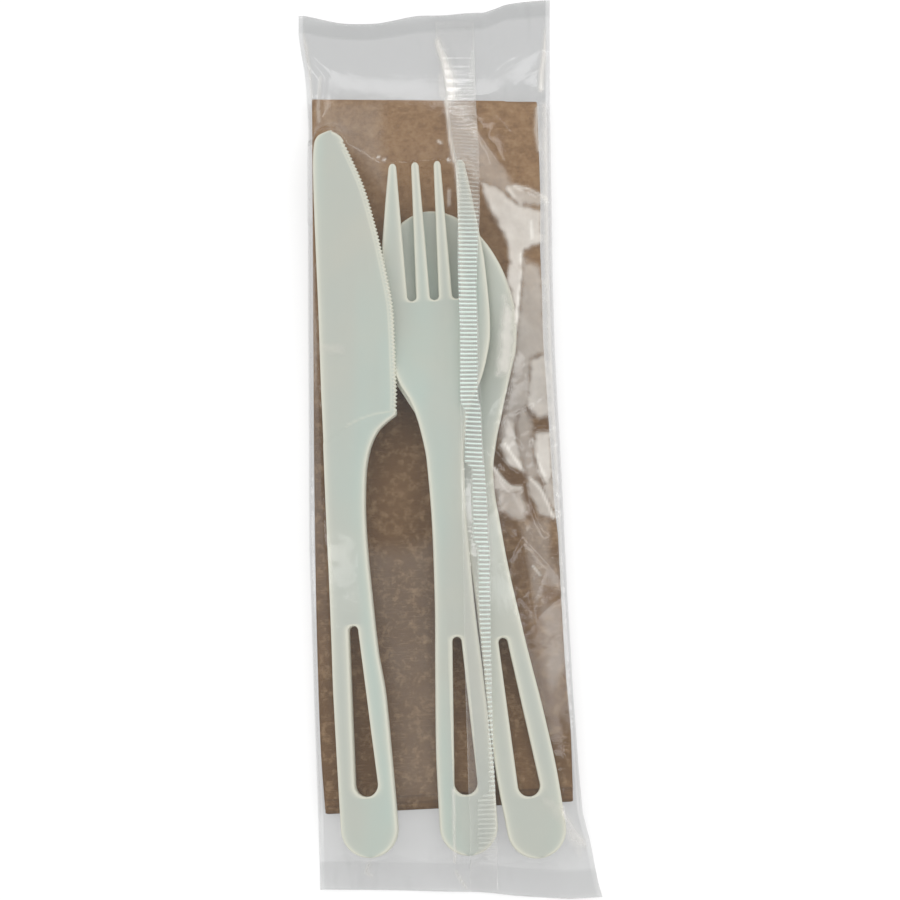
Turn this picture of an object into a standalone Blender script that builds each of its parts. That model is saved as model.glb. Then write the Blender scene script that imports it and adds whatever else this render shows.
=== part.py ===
"""Cutlery pack lying on its back: a knife, a fork and a spoon on a folded paper napkin, in clear film.

Metres. +Y runs from the handle ends to the fork's tines, +X from the knife to the spoon, +Z up.
The origin is the middle of the pack, on the surface that it lies on.
"""

import math

import bmesh
import bpy
import numpy as np
from mathutils import Matrix, Vector
from mathutils.bvhtree import BVHTree

# Room between pieces that touch, and a distance past everything, for cutters, rays and lifted pieces
CLEARANCE = 0.0003
WELL_CLEAR = 0.03

# Film sleeve: a tube of film, sealed along its front and across both ends
FILM_WALL = 0.00005
SEAL_MOUTH = 0.00001
SLEEVE_SLACK = 0.0072
SIDE_FOLD_WIDTH = 0.0012
END_RISE = 0.0008
SHOULDER_LENGTH = 0.012
TOP_ROOM = 0.0181
TOP_SEAL = 0.0035
BOTTOM_ROOM = 0.0004
BOTTOM_SEAL = 0.0055
# How far each cut end runs past its nominal line, by share of the width from the left
TOP_CUT = ((0.0, -0.0027), (0.27, -0.0050), (0.51, -0.0031), (0.80, -0.0021), (0.90, 0.0011), (1.0, 0.0027))
BOTTOM_CUT = ((0.0, 0.0012), (0.55, -0.0005), (1.0, -0.0027))
# The sleeve's centre line, by distance along the pack
SLEEVE_CENTRE = ((-0.1025, 0.0005), (-0.0900, -0.0004), (0.0, -0.0018), (0.0600, -0.0014), (0.1025, -0.0005))
END_CURL = 0.0004
BOTTOM_CURLS = 2.5
TOP_CURLS = 3.0
FIN_WIDTH = 0.0064
FIN_GAP = 0.0002
FIN_ROOT = ((-0.1025, 0.0094), (0.1025, 0.0098))
VENT_DIAMETER = 0.0010
VENT_PLACE = (-0.0270, -0.0900)

# Napkin: a square sheet folded in half, and again into six panels, each two plies thick
NAPKIN_SHEET = 0.330
NAPKIN_PANELS = 6
NAPKIN_PLY = 0.00016
NAPKIN_AIR = 0.00010
NAPKIN_SLIP = 0.0004
NAPKIN_SLIP_STEP = 2.2
NAPKIN_CENTRE = (-0.0019, -0.0020)

# Walls and edges of the three moulded utensils
HANDLE_THICKNESS = 0.0020
BOWL_THICKNESS = 0.0011
TINE_THICKNESS = 0.0015
TINE_TIP_THICKNESS = 0.0008
BLADE_THICKNESS = 0.0013
EDGE_THICKNESS = 0.0005
EDGE_ROUND = 0.0007
EDGE_FLAT = 0.00015
HANDLE_END_RADIUS = 0.0062

# Utensils, each drawn from its tip at zero to the end of its handle. A table gives a measure by distance
# from the tip. A slot is given by the way from the handle's end to the centre of its wide end, the way on
# to the centre of its narrow end, the two radii, and how far the narrow end leans to the left. The
# squareness of a section is 2 for an ellipse.
SPOON_TIP = (-0.0021, 0.0508)
SPOON_TURN = 7.98
SPOON_LENGTH = 0.1485
SPOON_BOWL_LENGTH = 0.0275
SPOON_BOWL_HALF = 0.0164
SPOON_WIDTHS = ((0.0300, 0.0162), (0.0335, 0.0155), (0.0371, 0.0146), (0.0404, 0.0132), (0.0438, 0.0118),
                (0.0474, 0.0103), (0.0517, 0.0086), (0.0568, 0.0066), (0.0635, 0.0047), (0.0700, 0.0041),
                (0.0808, 0.0041), (0.0988, 0.0048), (0.1198, 0.0062), (0.1308, 0.0066), (0.1428, 0.0064))
SPOON_RIM = ((0.0, 0.0034), (0.0120, 0.0042), (0.0250, 0.0048), (0.0400, 0.0052), (0.0560, 0.0052),
             (0.0700, 0.0048), (0.1000, 0.0036), (0.1300, 0.0026), (0.1485, 0.0022))
SPOON_DEPTH = ((0.0, 0.0), (0.0050, 0.0014), (0.0140, 0.0030), (0.0270, 0.0037), (0.0390, 0.0029),
               (0.0520, 0.0010), (0.0620, 0.0001), (0.1485, 0.0))
SPOON_THICKNESS = ((0.0, BOWL_THICKNESS), (0.0500, BOWL_THICKNESS), (0.0700, HANDLE_THICKNESS))
SPOON_SLOT = (0.0157, 0.0314, 0.0024, 0.0010, 0.0)
SPOON_SQUARENESS = 2.6

FORK_TIP = (-0.0013, 0.0617)
FORK_TURN = 1.61
FORK_LENGTH = 0.1570
FORK_WIDTHS = ((0.0, 0.0087), (0.0107, 0.0103), (0.0257, 0.0120), (0.0357, 0.0123), (0.0417, 0.0120),
               (0.0478, 0.0107), (0.0521, 0.0093), (0.0571, 0.0069), (0.0624, 0.0054), (0.0707, 0.0042),
               (0.0837, 0.0039), (0.1007, 0.0043), (0.1187, 0.0053), (0.1387, 0.0062), (0.1510, 0.0063))
FORK_RIM = ((0.0, 0.0042), (0.0120, 0.0032), (0.0330, 0.0027), (0.0450, 0.0038), (0.0600, 0.0060),
            (0.0720, 0.0064), (0.1000, 0.0050), (0.1300, 0.0033), (0.1570, 0.0022))
FORK_DEPTH = ((0.0, 0.0), (0.0150, 0.0003), (0.0350, 0.0011), (0.0500, 0.0009), (0.0620, 0.0), (0.1570, 0.0))
FORK_THICKNESS = ((0.0, TINE_TIP_THICKNESS), (0.0120, TINE_THICKNESS), (0.0500, TINE_THICKNESS),
                  (0.0700, HANDLE_THICKNESS))
FORK_SLOT = (0.0155, 0.0306, 0.0025, 0.0010, 0.0)
FORK_SQUARENESS = 3.0
TINE_GAPS = (-0.0053, -0.0001, 0.0050)
TINE_GAP_AT_TIP = 0.0035
TINE_GAP_AT_ROOT = 0.0020
TINE_LENGTH = 0.0324

KNIFE_TIP = (-0.0230, 0.0708)
KNIFE_TURN = 1.76
KNIFE_LENGTH = 0.1658
KNIFE_SPINE = ((0.0, -0.0011), (0.0009, -0.0033), (0.0030, -0.0044), (0.0103, -0.0050), (0.0433, -0.0055),
               (0.0683, -0.0059), (0.0983, -0.0057), (0.1180, -0.0060), (0.1310, -0.0063), (0.1570, -0.0064))
KNIFE_EDGE = ((0.0, -0.0003), (0.0009, 0.0011), (0.0018, 0.0021), (0.0033, 0.0029), (0.0082, 0.0049),
              (0.0152, 0.0073), (0.0217, 0.0088), (0.0348, 0.0111), (0.0458, 0.0123), (0.0577, 0.0121),
              (0.0690, 0.0114), (0.0701, 0.0100), (0.0710, 0.0087), (0.0722, 0.0073), (0.0743, 0.0059),
              (0.0767, 0.0049), (0.0813, 0.0039), (0.0863, 0.0035), (0.0923, 0.0033), (0.0993, 0.0034),
              (0.1093, 0.0038), (0.1213, 0.0044), (0.1313, 0.0055), (0.1423, 0.0059), (0.1583, 0.0063))
KNIFE_RIM = ((0.0, 0.0013), (0.0660, 0.0013), (0.0760, 0.0022), (0.1000, 0.0036), (0.1300, 0.0032),
             (0.1658, 0.0024))
KNIFE_THICKNESS = ((0.0, BLADE_THICKNESS), (0.0660, BLADE_THICKNESS), (0.0760, HANDLE_THICKNESS))
KNIFE_SLOT = (0.0156, 0.0333, 0.0026, 0.0011, 0.0008)
KNIFE_SQUARENESS = 3.4
KNIFE_ROLL = 13.0
BLADE_LENGTH = 0.0690
BEVEL_WIDTH = 0.0040
TEETH_START = 0.0030
TEETH_TO_HEEL = 0.0010
TOOTH_PITCH = 0.00089
TOOTH_DEPTH = 0.00045

# How finely the surfaces are drawn
SECTION_POINTS = 20
STATION_STEP = 0.0055
FILM_ROWS = 34
FILM_COLUMNS = (11, 3, 8)
FOLD_POINTS = 3
SIDE_CROWDING = 1.35
ROUND_SIDES = 12
VENT_SIDES = 8
HEEL_STATIONS = (0.0, 0.0011, 0.0021, 0.0033, 0.0054, 0.0090)
END_STATIONS = (0.0, 0.00015, 0.0006, 0.0015)
END_STEP = 0.0032
NAPKIN_ROWS = 6
SHARP_ANGLE = 35.0
SMALLEST_HALF_WIDTH = 0.0002

# How the pieces are laid on each other and the film is drawn over them
HEIGHT_STEP = 0.0008
DRAPE_PASSES = 300
SEATING_PASSES = 12
HEAD_SHARE = 0.6
STEEPEST_PITCH = 6.0
GIRTH_PASSES = 3

# Finishes: linear colour with its opacity, and roughness
CLEAR_FILM = ((0.86, 0.88, 0.88, 0.30), 0.12)
KRAFT_TISSUE = ((0.32, 0.21, 0.125, 1.0), 0.92)
PALE_PLASTIC = ((0.60, 0.64, 0.58, 1.0), 0.42)


def clear_scene():
    """Remove every object that the scene holds."""
    for item in list(bpy.data.objects):
        bpy.data.objects.remove(item, do_unlink=True)


def give_material(item, finish):
    """A material of the piece's own, with the finish's colour, opacity and roughness."""
    colour, roughness = finish
    material = bpy.data.materials.new(item.name)
    material.use_nodes = True
    shader = material.node_tree.nodes["Principled BSDF"]
    shader.inputs["Base Color"].default_value = (*colour[:3], 1.0)
    shader.inputs["Alpha"].default_value = colour[3]
    shader.inputs["Roughness"].default_value = roughness
    shader.inputs["Metallic"].default_value = 0.0
    item.data.materials.append(material)


def new_object(name, verts, faces):
    """A mesh object whose faces point out, with doubled points merged."""
    mesh = bpy.data.meshes.new(name)
    mesh.from_pydata([tuple(v) for v in verts], [], faces)
    item = bpy.data.objects.new(name, mesh)
    bpy.context.collection.objects.link(item)
    work = bmesh.new()
    work.from_mesh(mesh)
    bmesh.ops.remove_doubles(work, verts=work.verts, dist=1e-7)
    bmesh.ops.dissolve_degenerate(work, edges=work.edges, dist=1e-7)
    bmesh.ops.recalc_face_normals(work, faces=work.faces)
    work.to_mesh(mesh)
    work.free()
    return item


def smooth_curve(stations, at):
    """A curve through the stations that rises and falls only where they do (monotone cubic)."""
    x, y = (np.array(column, float) for column in zip(*stations))
    at = np.clip(np.asarray(at, float), x[0], x[-1])
    step = np.diff(x)
    slope = np.diff(y) / step
    tangent = np.zeros_like(y)
    inner = slope[:-1] * slope[1:] > 0
    weight_a = 2 * step[1:] + step[:-1]
    weight_b = step[1:] + 2 * step[:-1]
    safe = np.where(inner, slope[:-1], 1.0), np.where(inner, slope[1:], 1.0)
    mean = (weight_a + weight_b) / (weight_a / safe[0] + weight_b / safe[1])
    tangent[1:-1] = np.where(inner, mean, 0.0)
    tangent[0], tangent[-1] = slope[0], slope[-1]
    k = np.clip(np.searchsorted(x, at, side="right") - 1, 0, len(step) - 1)
    t = (at - x[k]) / step[k]
    rise = t * t * (3 - 2 * t)
    return (y[k] * (1 - rise) + y[k + 1] * rise
            + step[k] * (tangent[k] * t * (1 - t) ** 2 - tangent[k + 1] * t * t * (1 - t)))


def round_end(distance, radius):
    """The half width of a round end, as a share of its full half width, at a distance from its tip."""
    inside = np.clip(1 - distance / radius, 0.0, 1.0)
    return np.sqrt(1 - inside**2)


def section(half_width, thickness, centre, height, dish, squareness):
    """One closed section: a rounded flat bar across +X, dished by a parabola that leaves its rims up."""
    half_width = max(half_width, SMALLEST_HALF_WIDTH)
    turn = 2 * math.pi * (np.arange(SECTION_POINTS) + 0.5) / SECTION_POINTS
    across = np.sign(np.cos(turn)) * np.abs(np.cos(turn)) ** (2 / squareness)
    up = np.sign(np.sin(turn)) * np.abs(np.sin(turn)) ** (2 / squareness)
    x = centre + half_width * across
    z = height - thickness / 2 - dish * (1 - across**2) + thickness / 2 * up
    return x, z


def loft(name, stations, section_at):
    """A closed bar through the sections at the stations, drawn down -Y from its tip at the origin."""
    verts = []
    for at in stations:
        x, z = section_at(at)
        verts += [(px, -at, pz) for px, pz in zip(x, z)]
    n = SECTION_POINTS
    faces = [tuple(range(n)), tuple(range(len(verts) - n, len(verts)))]
    for row in range(len(stations) - 1):
        for k in range(n):
            a, b = row * n + k, row * n + (k + 1) % n
            faces.append((a, b, b + n, a + n))
    return new_object(name, verts, faces)


def stations_between(length):
    """Places along a bar: close together at its round ends and evenly spaced between."""
    inner = np.linspace(END_STEP, length - END_STEP, round(length / STATION_STEP))
    near = np.array(END_STATIONS)
    return np.concatenate([near, inner, length - near[::-1]])


def prism(name, outline, low, high):
    """An upright prism over an outline in the XY plane, hidden, to cut with."""
    n = len(outline)
    verts = [(x, y, low) for x, y in outline] + [(x, y, high) for x, y in outline]
    faces = [tuple(range(n)), tuple(range(n, 2 * n))]
    faces += [(k, (k + 1) % n, n + (k + 1) % n, n + k) for k in range(n)]
    item = new_object(name, verts, faces)
    item.hide_render = True
    item.display_type = "WIRE"
    return item


def cut(item, cutter):
    """Take the cutter's shape out of the item."""
    modifier = item.modifiers.new(cutter.name, "BOOLEAN")
    modifier.operation = "DIFFERENCE"
    modifier.solver = "EXACT"
    modifier.object = cutter
    cutter.parent = item


def arc(centre_x, centre_y, radius, start, end):
    """Points along a half circle, from one angle in degrees to another."""
    angles = np.radians(np.linspace(start, end, ROUND_SIDES // 2 + 1))
    return [(centre_x + radius * math.cos(a), centre_y + radius * math.sin(a)) for a in angles]


def cut_handle_slot(item, length, slot):
    """A slot through the handle, narrow towards the neck and wide towards the end, with round ends."""
    to_end, run, wide_radius, narrow_radius, lean = slot
    wide = to_end - length
    outline = arc(-lean, wide + run, narrow_radius, 0, 180) + arc(0, wide, wide_radius, 180, 360)
    cut(item, prism(item.name + "_slot", outline, -WELL_CLEAR, WELL_CLEAR))


def make_spoon():
    """An oval bowl that runs into a flat handle with a slot."""
    def section_at(at):
        if at <= SPOON_BOWL_LENGTH:
            half = SPOON_BOWL_HALF * float(round_end(at, SPOON_BOWL_LENGTH))
        else:
            widths = ((SPOON_BOWL_LENGTH, SPOON_BOWL_HALF),) + SPOON_WIDTHS
            half = float(smooth_curve(widths, at)) * float(round_end(SPOON_LENGTH - at, HANDLE_END_RADIUS))
        thickness = float(smooth_curve(SPOON_THICKNESS, at))
        thickness *= float(round_end(min(at, SPOON_LENGTH - at) + EDGE_FLAT, EDGE_ROUND))
        return section(half, thickness, 0.0, float(smooth_curve(SPOON_RIM, at)),
                       float(smooth_curve(SPOON_DEPTH, at)), SPOON_SQUARENESS)

    item = loft("spoon", stations_between(SPOON_LENGTH), section_at)
    cut_handle_slot(item, SPOON_LENGTH, SPOON_SLOT)
    return item


def make_fork():
    """Four tines with round gaps between them, a shallow dish behind them, and a flat handle with a slot."""
    def section_at(at):
        half = float(smooth_curve(FORK_WIDTHS, at)) * float(round_end(FORK_LENGTH - at, HANDLE_END_RADIUS))
        thickness = float(smooth_curve(FORK_THICKNESS, at))
        thickness *= float(round_end(FORK_LENGTH - at + EDGE_FLAT, EDGE_ROUND))
        return section(half, thickness, 0.0, float(smooth_curve(FORK_RIM, at)),
                       float(smooth_curve(FORK_DEPTH, at)), FORK_SQUARENESS)

    item = loft("fork", stations_between(FORK_LENGTH), section_at)
    cut_handle_slot(item, FORK_LENGTH, FORK_SLOT)
    for number, middle in enumerate(TINE_GAPS):
        root = TINE_GAP_AT_ROOT / 2
        tip = TINE_GAP_AT_TIP / 2
        outline = arc(middle, root - TINE_LENGTH, root, 180, 360)
        outline += [(middle + tip, tip), (middle - tip, tip)]
        cut(item, prism(f"fork_gap_{number + 1}", outline, -WELL_CLEAR, WELL_CLEAR))
    return item


def blade_side(at):
    """Where the blade's cutting side runs, without its teeth."""
    return smooth_curve(KNIFE_EDGE, at)


def make_knife():
    """A blade bevelled to its toothed side, stepped down at its heel into a flat handle with a slot."""
    def section_at(at):
        left = float(smooth_curve(KNIFE_SPINE, at))
        right = float(blade_side(at))
        half = (right - left) / 2 * float(round_end(KNIFE_LENGTH - at, HANDLE_END_RADIUS))
        thick = float(smooth_curve(KNIFE_THICKNESS, at))
        thick *= float(round_end(min(at, KNIFE_LENGTH - at) + EDGE_FLAT, EDGE_ROUND))
        rim = float(smooth_curve(KNIFE_RIM, at))
        x, z = section(half, thick, (left + right) / 2, rim, 0.0, KNIFE_SQUARENESS)
        bevel = np.clip((x - right) / BEVEL_WIDTH + 1, 0, 1) * (at < BLADE_LENGTH)
        squeeze = 1 - bevel * (1 - EDGE_THICKNESS / BLADE_THICKNESS)
        middle = rim - thick / 2
        return x, middle + (z - middle) * squeeze

    heel = BLADE_LENGTH + np.array(HEEL_STATIONS)
    stations = np.unique(np.concatenate([stations_between(KNIFE_LENGTH), heel]).round(6))
    item = loft("knife", stations, section_at)
    cut_handle_slot(item, KNIFE_LENGTH, KNIFE_SLOT)
    cut_teeth(item)
    return item


def cut_teeth(item):
    """Saw teeth along the cutting side: one zigzag cutter whose points reach in by the tooth depth.

    Between the teeth the cutter stays just off the blade's side.
    """
    last = BLADE_LENGTH - TEETH_TO_HEEL
    count = round((last - TEETH_START) / TOOTH_PITCH)
    places = np.linspace(TEETH_START, last, 2 * count + 1)
    reach = np.where(np.arange(len(places)) % 2 == 0, TOOTH_DEPTH / 4, -TOOTH_DEPTH)
    zigzag = list(zip(blade_side(places) + reach, -places))
    outline = zigzag + [(WELL_CLEAR, -last), (WELL_CLEAR, -TEETH_START)]
    cut(item, prism("knife_teeth", outline, -WELL_CLEAR, WELL_CLEAR))


def napkin_width():
    """One panel of the sheet, less what its folds take up."""
    return NAPKIN_SHEET / NAPKIN_PANELS - 2 * NAPKIN_PLY - NAPKIN_AIR


def napkin_path():
    """The middle line of the folded sheet across the napkin: panels in a zigzag, joined by round folds.

    For each point it gives the place, the way across the sheet, and the panel that it lies in.
    """
    thickness = 2 * NAPKIN_PLY
    pitch = thickness + NAPKIN_AIR
    reach = napkin_width() / 2 - pitch / 2 - thickness / 2
    path, away, panels = [], [], []
    for panel in range(NAPKIN_PANELS):
        side = 1 if panel % 2 == 0 else -1
        height = panel * pitch + thickness / 2
        for x in np.linspace(-side, side, 4) * reach:
            path.append((x, height))
            away.append((0.0, side))
            panels.append(panel)
        if panel == NAPKIN_PANELS - 1:
            break
        for turn in np.radians((-60, -30, 0, 30, 60)):
            x = side * (reach + pitch / 2 * math.cos(turn))
            path.append((x, height + pitch / 2 * (1 + math.sin(turn))))
            away.append((-math.cos(turn), -side * math.sin(turn)))
            panels.append(panel + 0.5 + turn / math.pi)
    return np.array(path), np.array(away), np.array(panels)


def make_napkin():
    """The folded sheet as one thick path, drawn along the pack; its panels slip a little past each other."""
    path, away, panels = napkin_path()
    inner = path + away * NAPKIN_PLY
    outer = path - away * NAPKIN_PLY
    slip = NAPKIN_SLIP * np.sin(NAPKIN_SLIP_STEP * panels)
    rows = np.linspace(-NAPKIN_SHEET / 4, NAPKIN_SHEET / 4, NAPKIN_ROWS)
    verts = [(x, y + shift, z) for y in rows for side in (inner, outer) for (x, z), shift in zip(side, slip)]
    n = len(path)
    faces = []
    for a in range(0, (NAPKIN_ROWS - 1) * 2 * n, 2 * n):
        b = a + 2 * n
        faces += [(a + k, a + k + 1, b + k + 1, b + k) for k in range(n - 1)]
        faces += [(a + k + 1, a + k, b + k, b + k + 1) for k in range(n, 2 * n - 1)]
        faces.append((a, b, b + n, a + n))
        faces.append((a + n - 1, a + 2 * n - 1, b + 2 * n - 1, b + n - 1))
    for a in (0, (NAPKIN_ROWS - 1) * 2 * n):
        faces += [(a + k, a + n + k, a + n + k + 1, a + k + 1) for k in range(n - 1)]
    item = new_object("napkin", verts, faces)
    item.location = (*NAPKIN_CENTRE, FILM_WALL + CLEARANCE)
    return item


def evaluated(item):
    """The object's finished mesh in world space: its points, edges and faces."""
    bpy.context.view_layer.update()
    graph = bpy.context.evaluated_depsgraph_get()
    shown = item.evaluated_get(graph)
    mesh = shown.to_mesh()
    points = np.empty(len(mesh.vertices) * 3, np.float32)
    mesh.vertices.foreach_get("co", points)
    edges = np.empty(len(mesh.edges) * 2, np.int32)
    mesh.edges.foreach_get("vertices", edges)
    faces = [tuple(face.vertices) for face in mesh.polygons]
    shown.to_mesh_clear()
    return moved(points.reshape(-1, 3), item.matrix_world), edges.reshape(-1, 2), faces


def samples(points, edges):
    """A mesh's points, and three more along each of its edges."""
    middles = [points[edges[:, 0]] * (1 - share) + points[edges[:, 1]] * share for share in (0.25, 0.5, 0.75)]
    return np.concatenate([points] + middles)


def tree(parts):
    """One surface to shoot rays at, from the points and faces of several pieces."""
    verts, faces = [], []
    for points, _, polygons in parts:
        shift = len(verts)
        verts += [Vector(p) for p in points]
        faces += [tuple(k + shift for k in face) for face in polygons]
    return BVHTree.FromPolygons(verts, faces)


def vertical_gaps(points, below, direction):
    """From each point, how far it is straight down (or up) to the surface; infinite where it meets none."""
    ray = Vector((0, 0, direction))
    hits = (below.ray_cast(Vector(p), ray) for p in points)
    return np.array([hit[3] if hit[0] is not None else math.inf for hit in hits])


def moved(points, matrix):
    """The points carried by a matrix."""
    grid = np.array(matrix)
    return points @ grid[:3, :3].T + grid[:3, 3]


def seat(item, tip, turn, length, roll, below):
    """Lay a utensil on the pieces below: pitch it until its head and its handle both touch, then drop it."""
    points, edges, faces = evaluated(item)
    own = samples(points, edges)
    lower = [evaluated(other) for other in below]
    lower_tree = tree(lower)
    lower_samples = np.concatenate([samples(p, e) for p, e, _ in lower])
    aim = Matrix.Translation((*tip, WELL_CLEAR)) @ Matrix.Rotation(math.radians(turn), 4, "Z")
    split = HEAD_SHARE * length
    own_is_head = -own[:, 1] < split
    lower_is_head = -moved(lower_samples, aim.inverted())[:, 1] < split

    def place(pitch):
        return aim @ Matrix.Rotation(pitch, 4, "X") @ Matrix.Rotation(math.radians(roll), 4, "Y")

    def gaps(pitch):
        down = vertical_gaps(moved(own, place(pitch)), lower_tree, -1)
        up = vertical_gaps(lower_samples, tree([(moved(points, place(pitch)), None, faces)]), 1)
        head = min(down[own_is_head].min(), up[lower_is_head].min())
        handle = min(down[~own_is_head].min(), up[~lower_is_head].min())
        return head, handle

    low, high = math.radians(-STEEPEST_PITCH), math.radians(STEEPEST_PITCH)
    for _ in range(SEATING_PASSES):
        middle = (low + high) / 2
        head, handle = gaps(middle)
        if head < handle:
            low = middle
        else:
            high = middle
    pitch = (low + high) / 2
    drop = min(gaps(pitch)) - CLEARANCE
    item.matrix_world = Matrix.Translation((0, 0, -drop)) @ place(pitch)


def contents_height(points_and_faces, low, high):
    """The highest point of the contents over a fine grid between two corners, zero where there are none."""
    surface = tree(points_and_faces)
    xs = np.arange(low[0] - HEIGHT_STEP, high[0] + HEIGHT_STEP, HEIGHT_STEP)
    ys = np.arange(low[1] - HEIGHT_STEP, high[1] + 2 * HEIGHT_STEP, 2 * HEIGHT_STEP)
    heights = np.zeros((len(ys), len(xs)))
    for j, y in enumerate(ys):
        for i, x in enumerate(xs):
            hit = surface.ray_cast(Vector((x, y, WELL_CLEAR)), Vector((0, 0, -1)))
            heights[j, i] = hit[0].z if hit[0] is not None else 0.0
    return xs, ys, heights


def highest_near(xs, ys, heights, x, y):
    """For each point of the film, the highest content between its neighbours."""
    spare = HEIGHT_STEP
    wide_x = np.pad(x, ((0, 0), (1, 1)), mode="edge")
    wide_y = np.pad(y, ((1, 1), (0, 0)), mode="edge")
    out = np.zeros(x.shape)
    for j, i in np.ndindex(x.shape):
        near_x = (xs > wide_x[j, i] - spare) & (xs < wide_x[j, i + 2] + spare)
        near_y = (ys > wide_y[j, i] - spare) & (ys < wide_y[j + 2, i] + spare)
        out[j, i] = heights[np.ix_(near_y, near_x)].max(initial=0.0)
    return out


def film_rows(length):
    """Shares of the length for the rows of the film: two at each seal's inner line, and even between."""
    low = BOTTOM_SEAL / length
    high = 1 - TOP_SEAL / length
    rise = END_RISE / length
    return np.concatenate([[0.0, low], np.linspace(low + rise, high - rise, FILM_ROWS), [high, 1.0]])


def film_columns(left, right, root):
    """Places across one row of the front: to the fin, across it, and past it; closer near the side folds."""
    to_fin, fin, past_fin = FILM_COLUMNS
    tip = root - FIN_WIDTH
    from_left = (np.arange(to_fin) / to_fin) ** SIDE_CROWDING
    from_right = (np.arange(past_fin, -1, -1) / past_fin) ** SIDE_CROWDING
    return np.concatenate([left + (tip - left) * from_left, tip + FIN_WIDTH * np.arange(fin) / fin,
                           right + (root - right) * from_right])


def draped_front(support, side_height):
    """The front, held up where something supports it: elsewhere a point takes its neighbours' mean."""
    height = support.copy()
    for side in (0, -1):
        height[:, side] = np.maximum(side_height, support[:, side])
    for row in (0, 1, -2, -1):
        height[row] = 2 * FILM_WALL
    for _ in range(DRAPE_PASSES):
        mean = (height[2:-2, :-2] + height[2:-2, 2:] + height[1:-3, 1:-1] + height[3:-1, 1:-1]) / 4
        height[2:-2, 1:-1] = np.maximum(support[2:-2, 1:-1], mean)
    return height


def contents_reach(xs, ys, heights, level, centre):
    """At each row of the film, how far the contents reach from the sleeve's centre line."""
    near = np.abs(ys - level[:, None]) < np.gradient(level)[:, None]
    filled = near.astype(float) @ (heights > 0) > 0
    return (filled * np.abs(xs - centre[:, None])).max(axis=1)


def side_heights(napkin, level):
    """How high the front starts at the side folds: over the napkin's top, and down to the back past it."""
    beyond = np.maximum(napkin[:, 1].min() - level, level - napkin[:, 1].max())
    return np.interp(beyond, (0.0, SHOULDER_LENGTH), (napkin[:, 2].max() + 2 * CLEARANCE, 3 * FILM_WALL))


def girths(x, y, height):
    """How long each row's ring is all round."""
    floor = np.zeros(x.shape[1])
    rings = np.array([film_ring(x[j], y[j], height[j], floor, 0.0, False) for j in range(len(x))])
    steps = rings - np.roll(rings, 1, axis=1)
    return np.hypot(steps[:, :, 0], steps[:, :, 2]).sum(axis=1)


def end_curl(across):
    """How far the cut ends wave up from the surface, in straight steps between the points of the back."""
    curl = np.zeros_like(across)
    for row, curls in ((0, BOTTOM_CURLS), (-1, TOP_CURLS)):
        wave = END_CURL * (0.5 - 0.5 * np.cos(2 * math.pi * curls * across[row]))
        curl[row] = np.interp(across[row], across[row, ::2], wave[::2])
    return curl


def film_grid(contents):
    """Where each point of the front and of the back lies: rows along the pack, columns across it.

    The girth is the same all along, so the sleeve is narrower where it is thicker.
    """
    corners = np.concatenate([part[0] for part in contents])
    low, high = corners.min(axis=0), corners.max(axis=0)
    xs, ys, heights = contents_height(contents, low, high)
    bottom_end = low[1] - BOTTOM_ROOM - BOTTOM_SEAL
    length = high[1] + TOP_ROOM + TOP_SEAL - bottom_end
    shares = film_rows(length)
    level = bottom_end + shares * length
    centre = smooth_curve(SLEEVE_CENTRE, level)
    root = smooth_curve(FIN_ROOT, level)
    side_height = side_heights(contents[0][0], level)
    least = 2 * (contents_reach(xs, ys, heights, level, centre) + SIDE_FOLD_WIDTH)
    flat_width = napkin_width() + SLEEVE_SLACK
    width = np.full(len(shares), flat_width)
    for _ in range(GIRTH_PASSES):
        half = width / 2 - SIDE_FOLD_WIDTH
        x = np.array([film_columns(c - h, c + h, r) for c, h, r in zip(centre, half, root)])
        across = (x - x[:, :1]) / (x[:, -1:] - x[:, :1])
        bottom = bottom_end + smooth_curve(BOTTOM_CUT, across)
        top = bottom_end + length + smooth_curve(TOP_CUT, across)
        y = bottom + (top - bottom) * shares[:, None]
        support = highest_near(xs, ys, heights, x, y)
        support = np.where(support > 0, support + CLEARANCE + FILM_WALL, 2 * FILM_WALL)
        height = draped_front(support, side_height)
        spare = (2 * flat_width - girths(x, y, height)) / 2
        width = np.clip(width + spare, least, np.maximum(flat_width, least))
    curl = end_curl(across)
    return x, y, height + curl, curl


def film_ring(x, y, top, floor, wall, with_fin):
    """One row's closed ring: the front, the right fold, the back from right to left, and the left fold."""
    front = [(px, py, pz - wall) for px, py, pz in zip(x, y, top)]
    back = [(px, py, pz + wall) for px, py, pz in zip(x, y, floor)][::2]
    if with_fin:
        root = FILM_COLUMNS[0] + FILM_COLUMNS[1]
        tip = FILM_COLUMNS[0]
        under = [(x[k], y[k], top[k] + FIN_GAP) for k in range(root - 1, tip - 1, -1)]
        over = [(x[k], y[k], top[k] + FIN_GAP + 2 * FILM_WALL) for k in range(tip, root)]
        share = 2 * FILM_WALL / (x[root + 1] - x[root])
        foot = [(x[root] + 2 * FILM_WALL, y[root], top[root] + share * (top[root + 1] - top[root]))]
        front = front[:root + 1] + under + over + foot + front[root + 1:]
    folds = []
    for side, a, b in ((1, front[-1], back[-1]), (-1, back[0], front[0])):
        turns = np.linspace(0, math.pi, FOLD_POINTS + 2)[1:-1]
        middle = (np.array(a) + np.array(b)) / 2
        half = abs(a[2] - b[2]) / 2
        reach = SIDE_FOLD_WIDTH - wall
        xs = middle[0] + side * reach * np.sin(turns)
        zs = middle[2] + side * half * np.cos(turns)
        folds.append([(px, middle[1], pz) for px, pz in zip(xs, zs)])
    return front + folds[0] + back[::-1] + folds[1]


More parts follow.
